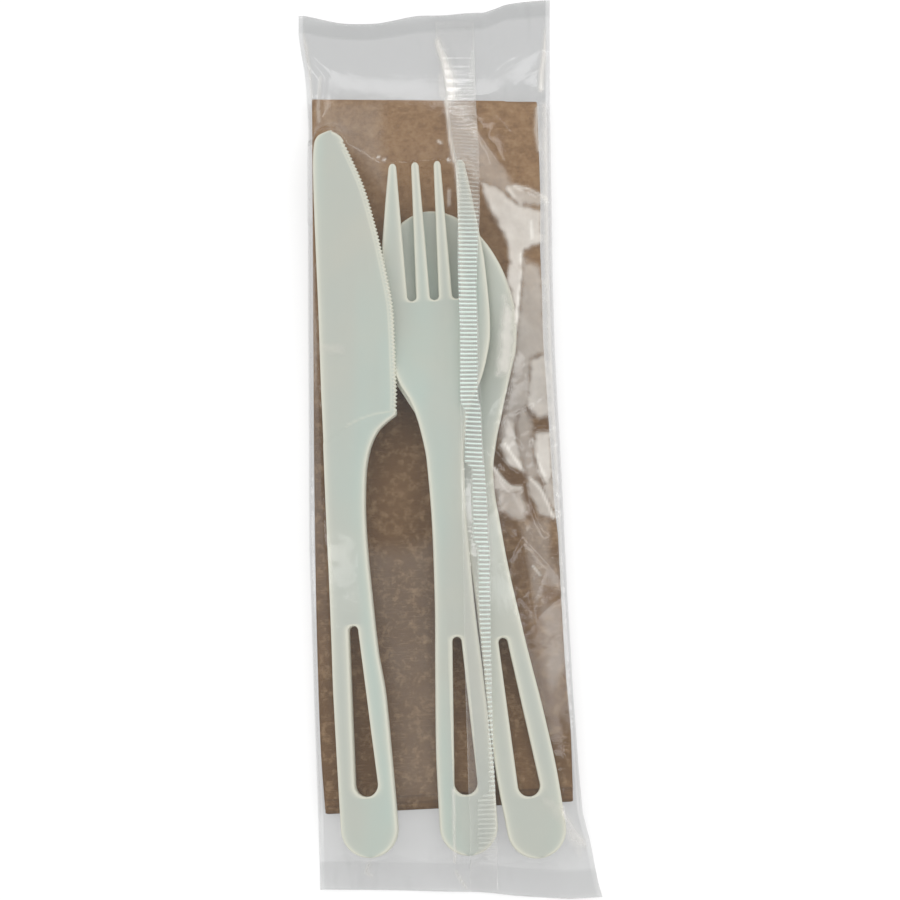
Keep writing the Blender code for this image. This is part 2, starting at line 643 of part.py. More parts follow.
def tube(rows):
    """Join rings into a tube: each cell is given from the corner that its two triangles are parted at.

    That corner is on the cell's left side, so that two walls which lie on each other bend along the same lines.
    """
    n = len(rows[0])
    verts = [point for ring in rows for point in ring]
    faces = []
    for row in range(len(rows) - 1):
        for k in range(n):
            a, b = row * n + k, row * n + (k + 1) % n
            if verts[b][0] < verts[a][0]:
                faces.append((b, b + n, a + n, a))
            else:
                faces.append((a, b, b + n, a + n))
    return verts, faces


def end_faces(row, ring_size, fin_points):
    """Cover one end of the tube: a strip between front and back, and the folds and the fin by themselves."""
    start = row * ring_size
    columns = sum(FILM_COLUMNS)
    root = FILM_COLUMNS[0] + FILM_COLUMNS[1]
    tip = FILM_COLUMNS[0]
    front = [start + k + (fin_points if k > root else 0) for k in range(columns + 1)]
    after_front = start + columns + 1 + fin_points
    right_fold = list(range(after_front, after_front + FOLD_POINTS))
    first_back = after_front + FOLD_POINTS
    back = list(range(first_back, first_back + columns // 2 + 1))[::-1]
    left_fold = list(range(back[0] + 1, back[0] + 1 + FOLD_POINTS))
    faces = []
    for cell in range(columns // 2):
        a, b, c = front[2 * cell:2 * cell + 3]
        middle = [b]
        if fin_points and a <= front[root] < c:
            foot = start + root + fin_points
            middle = [b, foot] if b == front[root] else [foot, b]
        faces.append((a, *middle, c, back[cell + 1], back[cell]))
    faces.append((front[-1], *right_fold, back[-1]))
    faces.append((back[0], *left_fold, front[0]))
    if fin_points:
        under = [start + root + 1 + k for k in range(root - tip)]
        over = [start + root + 1 + (root - tip) + k for k in range(root - tip)][::-1]
        foot = start + root + fin_points
        faces.append((front[root], under[0], over[0], foot))
        faces += [(under[k], under[k + 1], over[k + 1], over[k]) for k in range(len(under) - 1)]
    return faces


def in_triangles(faces):
    """Each four-sided face as two triangles, parted from its first corner to its third."""
    split = []
    for face in faces:
        if len(face) == 4:
            split += [(face[0], face[1], face[2]), (face[0], face[2], face[3])]
        else:
            split.append(face)
    return split


def pierce(verts, faces, place, radius):
    """Open a small round hole in the flat face nearest to a place, and give the points round it in order."""
    flat = [k for k, face in enumerate(faces)
            if len(face) == 4 and max(abs(verts[v][2]) for v in face) < 2 * FILM_WALL]
    middles = np.array([np.mean([verts[v][:2] for v in faces[k]], axis=0) for k in flat])
    chosen = flat[int(np.hypot(*(middles - place).T).argmin())]
    corners = faces.pop(chosen)
    middle = np.mean([verts[v] for v in corners], axis=0)
    turns = np.unwrap([math.atan2(verts[v][1] - middle[1], verts[v][0] - middle[0]) for v in corners])
    way = math.copysign(2 * math.pi, turns[-1] - turns[0])
    turns = np.append(turns, turns[0] + way)
    turns = np.interp(np.arange(VENT_SIDES) * 4 / VENT_SIDES, np.arange(5), turns)
    first = len(verts)
    verts += [(middle[0] + radius * math.cos(t), middle[1] + radius * math.sin(t), middle[2]) for t in turns]
    for side in range(4):
        a, b = corners[side], corners[(side + 1) % 4]
        per_side = VENT_SIDES // 4
        rim = [first + (side * per_side + k) % VENT_SIDES for k in range(per_side, -1, -1)]
        faces.append((a, b, *rim))
    return [first + k for k in range(VENT_SIDES)]


def make_film(contents):
    """The sleeve: an outer skin with the fin seal, and inside it a skin one wall in that stops at the seals.

    A small vent through the back joins the two skins into one closed surface.
    """
    x, y, top, floor = film_grid(contents)
    rows = len(top)
    fin_points = 2 * FILM_COLUMNS[1] + 1
    outer = [film_ring(x[j], y[j], top[j], floor[j], 0.0, True) for j in range(rows)]
    verts, faces = tube(outer)
    faces += end_faces(0, len(outer[0]), fin_points) + end_faces(rows - 1, len(outer[0]), fin_points)
    outer_hole = pierce(verts, faces, VENT_PLACE, VENT_DIAMETER / 2)
    inner_top = top.copy()
    for row in (1, -2):
        inner_top[row] += SEAL_MOUTH
    inner = [film_ring(x[j], y[j], inner_top[j], floor[j], FILM_WALL, False) for j in range(1, rows - 1)]
    inner_verts, inner_faces = tube(inner)
    inner_faces += end_faces(0, len(inner[0]), 0) + end_faces(rows - 3, len(inner[0]), 0)
    inner_hole = pierce(inner_verts, inner_faces, VENT_PLACE, VENT_DIAMETER / 2)
    shift = len(verts)
    verts += inner_verts
    faces += [tuple(v + shift for v in face) for face in inner_faces]
    for k in range(VENT_SIDES):
        after = (k + 1) % VENT_SIDES
        faces.append((outer_hole[k], outer_hole[after], inner_hole[after] + shift, inner_hole[k] + shift))
    return new_object("film_wrapper", verts, in_triangles(faces))


def centre_on_origin(pieces, outline):
    """Shift the pieces together so that the middle of the outline's box is at the origin."""
    points = evaluated(outline)[0]
    middle = (points.min(axis=0) + points.max(axis=0)) / 2
    for piece in pieces:
        piece.matrix_world = Matrix.Translation((-middle[0], -middle[1], 0.0)) @ piece.matrix_world


def shade_round(item):
    """Smooth shading, with the edges left sharp."""
    item.data.shade_smooth()
    item.data.set_sharp_from_angle(angle=math.radians(SHARP_ANGLE))


def main():
    """Stack the pieces from the bottom up, and draw the film round them."""
    clear_scene()
    napkin = make_napkin()
    spoon = make_spoon()
    seat(spoon, SPOON_TIP, SPOON_TURN, SPOON_LENGTH, 0.0, [napkin])
    fork = make_fork()
    seat(fork, FORK_TIP, FORK_TURN, FORK_LENGTH, 0.0, [napkin, spoon])
    knife = make_knife()
    seat(knife, KNIFE_TIP, KNIFE_TURN, KNIFE_LENGTH, -KNIFE_ROLL, [napkin, spoon, fork])
    film = make_film([evaluated(piece) for piece in (napkin, spoon, fork, knife)])
    finishes = {film: CLEAR_FILM, napkin: KRAFT_TISSUE, spoon: PALE_PLASTIC, fork: PALE_PLASTIC,
                knife: PALE_PLASTIC}
    centre_on_origin(finishes, film)
    for piece, finish in finishes.items():
        give_material(piece, finish)
        shade_round(piece)


main()
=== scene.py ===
"""Cutlery pack: a knife, a fork and a spoon of pale plastic on a folded kraft napkin, in a clear film sleeve.

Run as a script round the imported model. Metres, +Y towards the fork's tines, +Z up, the pack on its back.
Every new piece is a surface worked out with numpy: its shape is a function of two parameters on a grid.
"""

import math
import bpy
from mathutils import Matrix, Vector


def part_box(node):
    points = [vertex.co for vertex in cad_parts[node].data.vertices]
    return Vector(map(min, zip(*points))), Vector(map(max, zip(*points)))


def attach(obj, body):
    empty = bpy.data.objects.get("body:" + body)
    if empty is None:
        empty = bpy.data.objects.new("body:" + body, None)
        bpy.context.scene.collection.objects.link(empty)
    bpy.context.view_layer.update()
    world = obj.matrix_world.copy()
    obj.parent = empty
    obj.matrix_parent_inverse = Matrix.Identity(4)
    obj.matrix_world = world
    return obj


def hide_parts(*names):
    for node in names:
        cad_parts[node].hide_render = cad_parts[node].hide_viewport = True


bl_info = {
    "name": "Cutlery Pack",
    "version": (1, 0, 0),
    "blender": (4, 5, 0),
    "location": "3D View > Sidebar > Cutlery Pack",
    "description": "Moulded cutlery and a paper napkin in a sealed film sleeve",
    "category": "Add Mesh",
}

import bmesh
import bpy
import numpy as np
from bpy.props import FloatProperty, FloatVectorProperty, PointerProperty
from mathutils import Matrix, Vector

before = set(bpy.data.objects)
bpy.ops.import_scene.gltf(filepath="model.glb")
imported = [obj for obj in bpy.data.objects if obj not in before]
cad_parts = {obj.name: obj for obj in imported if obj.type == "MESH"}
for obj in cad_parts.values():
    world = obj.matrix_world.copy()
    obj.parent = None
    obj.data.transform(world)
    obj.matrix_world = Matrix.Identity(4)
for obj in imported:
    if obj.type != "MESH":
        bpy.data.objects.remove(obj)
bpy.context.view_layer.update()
MM = 0.001

# The camera: what it looks at, its heading and its height over the horizon, and its lens
LOOK_AT = (0.0019, -0.0048, 0.0)
CAMERA_HEADING = 2.0216
CAMERA_ELEVATION = 78.0
CAMERA_DISTANCE = 0.4006
PICTURE_SIZE = 900
FOCAL_PIXELS = 1749.34
SENSOR = 36.0

# Outlines of the sleeve in picture coordinates
SLEEVE_LEFT = ((298.4, 17.3), (298.1, 32), (300.3, 49), (304, 69), (305.7, 85), (307.3, 108), (308.4, 130),
               (308, 240), (308.3, 340), (309.3, 550), (311, 600), (314, 700), (315.5, 740), (317.6, 800),
               (318.6, 840), (320, 889.7))
SLEEVE_RIGHT = ((550, 1), (550, 60), (550, 102), (551.4, 184), (552.8, 280), (555, 350), (557.5, 400), (560, 440),
                (562, 480), (565.8, 560), (567.7, 600), (570.3, 640), (573, 690), (576, 729), (579, 770),
                (583, 812), (586, 824), (590.4, 840.5), (594.5, 861), (598.6, 882), (602.8, 897))
SLEEVE_TOP = ((298.4, 17.3), (320.8, 21.4), (347, 24), (368, 24), (392, 21), (423, 16.7), (453.5, 14.7),
              (484, 13.3), (496, 9.2), (510.6, 4.1), (525, 2.7), (549.4, 1))
SLEEVE_BOTTOM = ((320, 889.7), (362, 890), (403, 890.5), (445, 891.4), (476, 891.8), (496, 893), (517, 895.3),
                 (548, 897.4), (579, 898.4), (602.8, 897))
FIN_LEFT = ((435, 13), (436, 31), (443, 67), (447.3, 106), (451, 147), (454.5, 167), (457.6, 194), (457.6, 275),
            (460, 340), (460, 400), (464.5, 664), (468.4, 790), (470, 820), (470, 893))
FIN_RIGHT = ((474, 13), (475, 55), (476, 102), (479, 153), (479.6, 220), (477, 265), (476, 296), (479, 340),
             (481.6, 440), (484.8, 480), (487, 510), (489.6, 556), (490.4, 640), (493, 740), (497, 830),
             (499, 893))

# Where the fin's ribs show, by the height in the picture: their left and right ends and their strength
FIN_RIBS = ((50, 470, 476, 0.0), (54, 470, 476, 0.25), (80, 470, 476, 0.25), (100, 450, 478, 0.15),
            (180, 454, 478, 0.2), (200, 458, 479, 0.3), (245, 458, 478, 0.8), (300, 458, 477, 1.0),
            (400, 459, 478, 1.0), (411, 465, 481, 0.9), (463, 465, 483, 0.9), (468, 472, 487, 0.8),
            (540, 473, 488, 0.8), (545, 478, 490, 0.8), (620, 479, 491, 0.7), (700, 487, 494, 0.5),
            (790, 490, 497, 0.4), (800, 478, 496, 0.25), (848, 478, 496, 0.2), (860, 478, 496, 0.0))

# Utensils. A place is the tip, then turn about the upright, pitch and roll in degrees. Every other table gives
# a form in mm by the distance from the tip. A slot is how far its wide end is from the handle's end, how far
# its two ends are apart, its radius at the wide end and at the narrow one, and how far the narrow one leans.
SPOON_PLACE = ((-2.051 * MM, 50.655 * MM, 2.873 * MM), 7.98, 0.098, 0.0)
FORK_PLACE = ((-1.251 * MM, 61.555 * MM, 5.828 * MM), 1.61, 1.317, 0.0)
KNIFE_PLACE = ((-22.951 * MM, 70.655 * MM, 7.369 * MM), 1.76, 1.46, -13.0)
HANDLE_END_RADIUS = 6.2 * MM
LEAST_HALF = 0.05 * MM

SPOON_LENGTH = 148.5 * MM
SPOON_BOWL = (27.5 * MM, 16.4 * MM)
SPOON_WIDTHS = ((27.5, 16.4), (30.0, 16.2), (33.5, 15.5), (37.1, 14.6), (40.4, 13.2), (43.8, 11.8), (47.4, 10.3),
                (51.7, 8.6), (56.8, 6.6), (63.5, 4.7), (70.0, 4.1), (80.8, 4.1), (98.8, 4.8), (119.8, 6.2),
                (130.8, 6.6), (142.8, 6.4))
SPOON_RIM = ((0, 3.4), (12, 4.2), (25, 4.8), (40, 5.2), (56, 5.2), (70, 4.8), (100, 3.6), (130, 2.6), (148.5, 2.2))
SPOON_DEPTH = ((0, 0), (5, 1.4), (14, 3.0), (27, 3.7), (39, 2.9), (52, 1.0), (62, 0.1), (148.5, 0))
SPOON_THICKNESS = ((0, 1.1), (50, 1.1), (70, 2.0))
SPOON_SLOT = (15.7, 31.4, 2.4, 1.0, 0.0)
SPOON_LIP = 0.9 * MM

FORK_LENGTH = 157.0 * MM
FORK_WIDTHS = ((0, 8.7), (10.7, 10.3), (25.7, 12.0), (35.7, 12.3), (41.7, 12.0), (47.8, 10.7), (52.1, 9.3),
               (57.1, 6.9), (62.4, 5.4), (70.7, 4.2), (83.7, 3.9), (100.7, 4.3), (118.7, 5.3), (138.7, 6.2),
               (151.0, 6.3))
FORK_RIM = ((0, 4.2), (12, 3.2), (33, 2.7), (45, 3.8), (60, 6.0), (72, 6.4), (100, 5.0), (130, 3.3), (157, 2.2))
FORK_DEPTH = ((0, 0), (15, 0.3), (35, 1.1), (50, 0.9), (62, 0), (157, 0))
FORK_THICKNESS = ((0, 0.8), (12, 1.5), (50, 1.5), (70, 2.0))
FORK_SLOT = (15.5, 30.6, 2.5, 1.0, 0.0)
TINE_GAPS = (-5.3 * MM, -0.1 * MM, 5.0 * MM)
TINE_GAP_HALVES = (1.75 * MM, 1.0 * MM)
TINE_LENGTH = 32.4 * MM
TINE_TIP_RADIUS = 1.1 * MM

KNIFE_LENGTH = 165.8 * MM
KNIFE_SPINE = ((0, -1.1), (0.9, -3.3), (3, -4.4), (10.3, -5.0), (43.3, -5.5), (68.3, -5.9), (98.3, -5.7),
               (118, -6.0), (131, -6.3), (157, -6.4))
KNIFE_EDGE = ((0, -0.3), (0.9, 1.1), (1.8, 2.1), (3.3, 2.9), (8.2, 4.9), (15.2, 7.3), (21.7, 8.8), (34.8, 11.1),
              (45.8, 12.3), (57.7, 12.1), (69.0, 11.4), (70.1, 10.0), (71.0, 8.7), (72.2, 7.3), (74.3, 5.9),
              (76.7, 4.9), (81.3, 3.9), (86.3, 3.5), (92.3, 3.3), (99.3, 3.4), (109.3, 3.8), (121.3, 4.4),
              (131.3, 5.5), (142.3, 5.9), (158.3, 6.3))
KNIFE_RIM = ((0, 1.3), (66, 1.3), (76, 2.2), (100, 3.6), (130, 3.2), (165.8, 2.4))
KNIFE_THICKNESS = ((0, 1.3), (66, 1.3), (76, 2.0))
KNIFE_SLOT = (15.6, 33.3, 2.6, 1.1, 0.8)
KNIFE_STEP = ((-6.0, 73.9), (-4.5, 73.0), (-2.3, 71.8), (0.0, 70.5), (2.3, 69.6), (4.5, 68.9), (6.8, 68.5),
              (11.4, 68.3))
TEETH = (3.0 * MM, 68.0 * MM)
BEVEL = ((0.0, 0.46), (1.5, 0.84), (4.5, 1.0))
# Columns that keep their way in from the blade's side, in mm, and the painted highlight lines on its bevel, each
# with its way in, its width and its strength
BLADE_COLUMNS = (0.15, 0.35, 0.6, 0.9, 1.2, 1.3, 1.4, 1.8, 2.3, 3.2, 4.5)
BEVEL_HIGHLIGHTS = ((1.3 * MM, 0.2 * MM, 0.8), (0.7 * MM, 0.2 * MM, 0.35))

# The folded napkin: how many panels, and half the thickness of one
NAPKIN_PANELS = 6
NAPKIN_PLY = 0.16 * MM
# How much shorter each panel is at the bottom, from the lowest panel up
NAPKIN_STAGGER = (0.0, 0.3 * MM, 0.1 * MM, 0.5 * MM, 1.7 * MM, 3.1 * MM)
# Its two long sides in picture coordinates, and how far its top edge falls towards the right
NAPKIN_LEFT = ((311.7, 99), (313.5, 405), (314, 475), (315.8, 600), (318.5, 700), (320.5, 750), (325, 811))
NAPKIN_RIGHT = ((537, 100), (540.3, 190), (540.3, 250), (542, 290), (543.3, 340), (546.8, 390), (550, 440),
                (554, 500), (558.5, 540), (562, 610), (565.7, 670), (570.8, 730), (573.2, 795))
NAPKIN_SLANT = 2.3 * MM

# The sleeve: rows and columns, its side folds and its seals
SLEEVE_ROWS = 428
SLEEVE_COLUMNS = 128
FOLD_POINTS = 7
FOLD_REACH = 1.2 * MM
FOLD_LEVEL = 1.6 * MM
SEAL_GAP = 0.12 * MM
TOP_SEAL = 3.5 * MM
BOTTOM_SEAL = 5.5 * MM
SEAL_FADE = 0.8 * MM
SHOULDER = 12.0 * MM
# Cover of the front, of the back and the most of the gloss: the back's heavier grey is partly painted shadow under
# the pack
SLEEVE_SHARES = (0.045, 0.29, 0.15)
FIN_SHARES = (0.015, 0.015, 0.05)
HAZE_SOFTNESS = 1.6
DRAPE_PASSES = 1800
DRAPE_WEIGHTS = (0.35, 0.15)


def smooth_curve(stations, at, unit=MM):
    """A curve through the stations that rises and falls only where they do (monotone cubic)."""
    x, y = (np.array(column, float) * unit for column in zip(*stations))
    at = np.clip(np.asarray(at, float), x[0], x[-1])
    step = np.diff(x)
    slope = np.diff(y) / step
    tangent = np.zeros_like(y)
    inner = slope[:-1] * slope[1:] > 0
    weight_a = 2 * step[1:] + step[:-1]
    weight_b = step[1:] + 2 * step[:-1]
    safe = np.where(inner, slope[:-1], 1.0), np.where(inner, slope[1:], 1.0)
    mean = (weight_a + weight_b) / (weight_a / safe[0] + weight_b / safe[1])
    tangent[1:-1] = np.where(inner, mean, 0.0)
    tangent[0], tangent[-1] = slope[0], slope[-1]
    k = np.clip(np.searchsorted(x, at, side="right") - 1, 0, len(step) - 1)
    t = (at - x[k]) / step[k]
    rise = t * t * (3 - 2 * t)
    return (y[k] * (1 - rise) + y[k + 1] * rise
            + step[k] * (tangent[k] * t * (1 - t) ** 2 - tangent[k + 1] * t * t * (1 - t)))


def ramp(value, low, high):
    """Zero up to low, one past high, and a smooth step between."""
    share = np.clip((value - low) / (high - low), 0.0, 1.0)
    return share * share * (3 - 2 * share)


def round_end(distance, radius):
    """The half width of a round end, as a share of its full half width, at a distance from its tip."""
    inside = np.clip(1 - distance / radius, 0.0, 1.0)
    return np.sqrt(1 - inside**2)


def graded(breaks, counts):
    """Stations between breaks that crowd towards each break by a cosine, so that round ends stay round."""
    parts = [a + (b - a) * (0.5 - 0.5 * np.cos(np.linspace(0, math.pi, n + 1)[:-1]))
             for a, b, n in zip(breaks[:-1], breaks[1:], counts)]
    return np.concatenate(parts + [[breaks[-1]]])


def ripples(x, y, lengths, seed, heading=None, spread=math.pi):
    """A soft random surface between minus one and one: sines of the given wave lengths, one for each.

    Each runs in a direction drawn from the seed, within the spread about a heading, and has its own phase.
    """
    draw = np.random.default_rng(seed)
    total = np.zeros(np.broadcast(x, y).shape)
    for length in lengths:
        angle = (heading or 0.0) + draw.uniform(-spread, spread)
        phase = draw.uniform(0, 2 * math.pi)
        total += np.sin(2 * math.pi * (x * math.cos(angle) + y * math.sin(angle)) / length + phase)
    return total / len(lengths)


def camera_axes():
    """Unit vectors ahead, to the right and up in the picture."""
    heading, height = math.radians(CAMERA_HEADING), math.radians(CAMERA_ELEVATION)
    level = np.array((math.sin(heading), math.cos(heading), 0.0)) * math.cos(height)
    ahead = level - np.array((0.0, 0.0, math.sin(height)))
    right = np.array((math.cos(heading), -math.sin(heading), 0.0))
    return ahead, right, np.cross(right, ahead)


def from_picture(points, height):
    """Where points of the picture lie on a level plane, as X and Y: each sight line is cut at the height."""
    ahead, right, up = camera_axes()
    across, down = np.asarray(points, float).T - PICTURE_SIZE / 2
    lines = ahead * FOCAL_PIXELS + right * across[:, None] - up * down[:, None]
    eye = np.array(LOOK_AT) - ahead * CAMERA_DISTANCE
    share = (height - eye[2]) / lines[:, 2]
    return (eye + lines * share[:, None])[:, :2]


def to_picture(points):
    """The picture coordinates of points in space, across and down."""
    ahead, right, up = camera_axes()
    away = points - (np.array(LOOK_AT) - ahead * CAMERA_DISTANCE)
    depth = away @ ahead
    return PICTURE_SIZE / 2 + FOCAL_PIXELS * np.stack((away @ right, -(away @ up)), axis=-1) / depth[..., None]


def place_matrix(place):
    """The matrix that lays a utensil in the pack: rolled, pitched, turned and moved to its tip."""
    tip, turn, pitch, roll = place
    return (Matrix.Translation(tip) @ Matrix.Rotation(math.radians(turn), 4, "Z")
            @ Matrix.Rotation(math.radians(pitch), 4, "X") @ Matrix.Rotation(math.radians(roll), 4, "Y"))


def new_piece(name, verts, faces, attributes, smooth_angle=None):
    """A mesh object of this name with its point attributes, merged, facing outwards and shaded smooth."""
    old = bpy.data.objects.get(name)
    if old is not None:
        bpy.data.objects.remove(old, do_unlink=True)
    mesh = bpy.data.meshes.new(name)
    mesh.from_pydata(np.asarray(verts, float).tolist(), [], faces)
    for key, values in attributes.items():
        attribute = mesh.attributes.new(key, "FLOAT", "POINT")
        attribute.data.foreach_set("value", np.asarray(values, np.float32).ravel())
    work = bmesh.new()
    work.from_mesh(mesh)
    bmesh.ops.remove_doubles(work, verts=work.verts, dist=2e-7)
    bmesh.ops.dissolve_degenerate(work, edges=work.edges, dist=1e-7)
    bmesh.ops.recalc_face_normals(work, faces=work.faces)
    work.to_mesh(mesh)
    work.free()
    mesh.shade_smooth()
    if smooth_angle:
        mesh.set_sharp_from_angle(angle=math.radians(smooth_angle))
    piece = bpy.data.objects.new(name, mesh)
    bpy.context.scene.collection.objects.link(piece)
    return piece


def stand_for(piece, node, material):
    """Let a piece take a node's place, ride with the pack, and carry its material."""
    piece.data.materials.append(material)
    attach(piece, "root")
    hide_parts(node)


class Term:
    """One output of a material's node. Sums written on it add Math nodes."""

    def __init__(self, graph, socket):
        self.graph = graph
        self.socket = socket

    def _sum(self, operation, first, second):
        return self.graph.add("ShaderNodeMath", {"operation": operation}, (first, second))

    def __add__(self, other):
        return self._sum("ADD", self, other)

    def __sub__(self, other):
        return self._sum("SUBTRACT", self, other)

    def __mul__(self, other):
        return self._sum("MULTIPLY", self, other)

    def __truediv__(self, other):
        return self._sum("DIVIDE", self, other)

    def __pow__(self, other):
        return self._sum("POWER", self, other)

    def __rsub__(self, other):
        return self._sum("SUBTRACT", other, self)

    def __rpow__(self, other):
        return self._sum("POWER", other, self)

    __radd__ = __add__
    __rmul__ = __mul__

    def clip(self, low=0.0, high=1.0):
        """The value held between two bounds."""
        return self.graph.add("ShaderNodeClamp", {}, (self, low, high))

    def step(self, low, high):
        """Zero up to low, one past high, and a smooth step between."""
        settings = {"interpolation_type": "SMOOTHSTEP"}
        return self.graph.add("ShaderNodeMapRange", settings, (self, low, high, 0.0, 1.0))


class Graph:
    """The nodes of a material or of the world, with one method that adds any node."""

    def __init__(self, owner):
        self.owner = owner
        owner.use_nodes = True
        self.tree = owner.node_tree
        self.tree.nodes.clear()

    def add(self, kind, settings, inputs, output=0):
        """Add a node: its settings first, then its inputs by place or by name. Gives one of its outputs."""
        node = self.tree.nodes.new(kind)
        for key, value in settings.items():
            setattr(node, key, value)
        items = inputs.items() if isinstance(inputs, dict) else enumerate(inputs)
        for key, value in items:
            if isinstance(value, Term):
                self.tree.links.new(value.socket, node.inputs[key])
            elif value is not None:
                node.inputs[key].default_value = value
        return Term(self, node.outputs[output])

    def place(self):
        """Object coordinates."""
        return self.add("ShaderNodeTexCoord", {}, (), "Object")

    def attribute(self, name):
        """A point attribute of the piece, as a number."""
        return self.add("ShaderNodeAttribute", {"attribute_name": name}, (), "Fac")

    def stretched(self, scales, turn=0.0):
        """Object coordinates turned about Z and scaled along each axis."""
        return self.add("ShaderNodeMapping", {}, {"Vector": self.place(), "Rotation": (0.0, 0.0, turn),
                                                  "Scale": scales})

    def noise(self, vector, scale, detail=3.0, roughness=0.5, distortion=0.0):
        """Noise between zero and one."""
        return self.add("ShaderNodeTexNoise", {}, {"Vector": vector, "Scale": scale, "Detail": detail,
                                                   "Roughness": roughness, "Distortion": distortion})

    def bands(self, vector, axis, pitch):
        """A sine along one axis between zero and one, which repeats after each pitch."""
        settings = {"wave_type": "BANDS", "bands_direction": axis, "wave_profile": "SIN"}
        scale = math.pi / (10 * pitch)
        return self.add("ShaderNodeTexWave", settings, {"Vector": vector, "Scale": scale, "Distortion": 0.0})

    def mix(self, share, first, second):
        """A colour between two."""
        return self.add("ShaderNodeMix", {"data_type": "RGBA"}, {0: share, 6: first, 7: second}, 2)

    def bump(self, height, distance, strength=1.0):
        """A normal bent by a height."""
        return self.add("ShaderNodeBump", {}, {"Height": height, "Distance": distance, "Strength": strength})

    def rays(self, *kinds):
        """One for the named kinds of light ray, and zero for the rest."""
        total = self.add("ShaderNodeLightPath", {}, (), kinds[0])
        for kind in kinds[1:]:
            total = total + self.add("ShaderNodeLightPath", {}, (), kind)
        return total.clip()

    def finish(self, shader, output="ShaderNodeOutputMaterial"):
        """Send a shader to the surface."""
        end = self.tree.nodes.new(output)
        self.tree.links.new(shader.socket, end.inputs["Surface"])
        return self.owner


WHITE = (1.0, 1.0, 1.0, 1.0)


def four(colour):
    """A colour with full opacity."""
    return (*colour, 1.0)


def plastic_material(settings):
    """Pale moulded plastic: mint and cream in broad clouds, a painted cream highlight along its edges, and a soft
    satin gloss.
    """
    graph = Graph(bpy.data.materials.new("pale_moulded_plastic"))
    place = graph.place()
    cloud = graph.noise(graph.stretched((90.0, 14.0, 40.0)), 1.0, 1.0)
    patch = graph.noise(place, 60.0, 2.0)
    grain = graph.noise(place, 900.0, 3.0, 0.6)
    base = graph.mix(cloud.step(0.34, 0.62), four(settings.colour), four(settings.shade))
    base = graph.mix((patch - 0.42).clip() * 1.1, base, four(settings.warm))
    # The edge attribute paints a cream highlight on the rounded rims and side walls, where light would catch them
    edge = graph.attribute("edge")
    colour = graph.mix((edge * 0.85).clip(), base, four(settings.edge_highlight_colour))
    rough = 0.36 + 0.12 * cloud + 0.08 * grain
    normal = graph.bump(grain * 0.4 + graph.noise(place, 220.0, 2.0), 0.00002, 0.5)
    shader = graph.add("ShaderNodeBsdfPrincipled", {}, {"Base Color": colour, "Roughness": rough, "Normal": normal,
                                                        "IOR": 1.46})
    return graph.finish(shader)


def kraft_material(settings):
    """Brown tissue: pulp fibres at several turns, clouds, dark specks and soft crumples."""
    graph = Graph(bpy.data.materials.new("kraft_tissue"))
    place = graph.place()
    cloud = graph.noise(place, 28.0, 3.0, 0.6)
    along = graph.add("ShaderNodeSeparateXYZ", {}, (place,), 1)
    light_end = (along + (cloud - 0.5) * 0.03).step(-0.005, 0.062)
    lightness = (cloud.step(0.3, 0.7) * 0.5 + light_end * 0.75).clip()
    base = graph.mix(lightness, four(settings.shade), four(settings.colour))
    fibres = None
    for turn in (0.35, 1.25, 2.2, 2.9):
        layer = graph.noise(graph.stretched((240.0, 2600.0, 800.0), turn), 1.0, 3.0, 0.6).step(0.60, 0.72)
        fibres = layer if fibres is None else fibres + layer
    fibres = (fibres * 0.5).clip()
    mottle = graph.noise(place, 520.0, 4.0, 0.7)
    base = graph.mix((mottle - 0.5).clip() * 2.6, base, four(settings.fibre))
    base = graph.mix((0.5 - mottle).clip() * 2.6, base, four(settings.speck))
    base = graph.mix(fibres * 0.45, base, four(settings.fibre))
    specks = graph.noise(place, 1500.0, 1.0).step(0.70, 0.76)
    base = graph.mix(specks * 0.55, base, four(settings.speck))
    crumple = graph.noise(place, 85.0, 4.0, 0.55, 0.8)
    height = crumple * 0.9 + fibres * 0.12 + graph.noise(place, 1400.0, 2.0) * 0.12
    normal = graph.bump(height, 0.00035, 0.8)
    shader = graph.add("ShaderNodeBsdfPrincipled", {}, {"Base Color": base, "Roughness": 0.95, "Normal": normal,
                                                        "Specular IOR Level": 0.15})
    return graph.finish(shader)


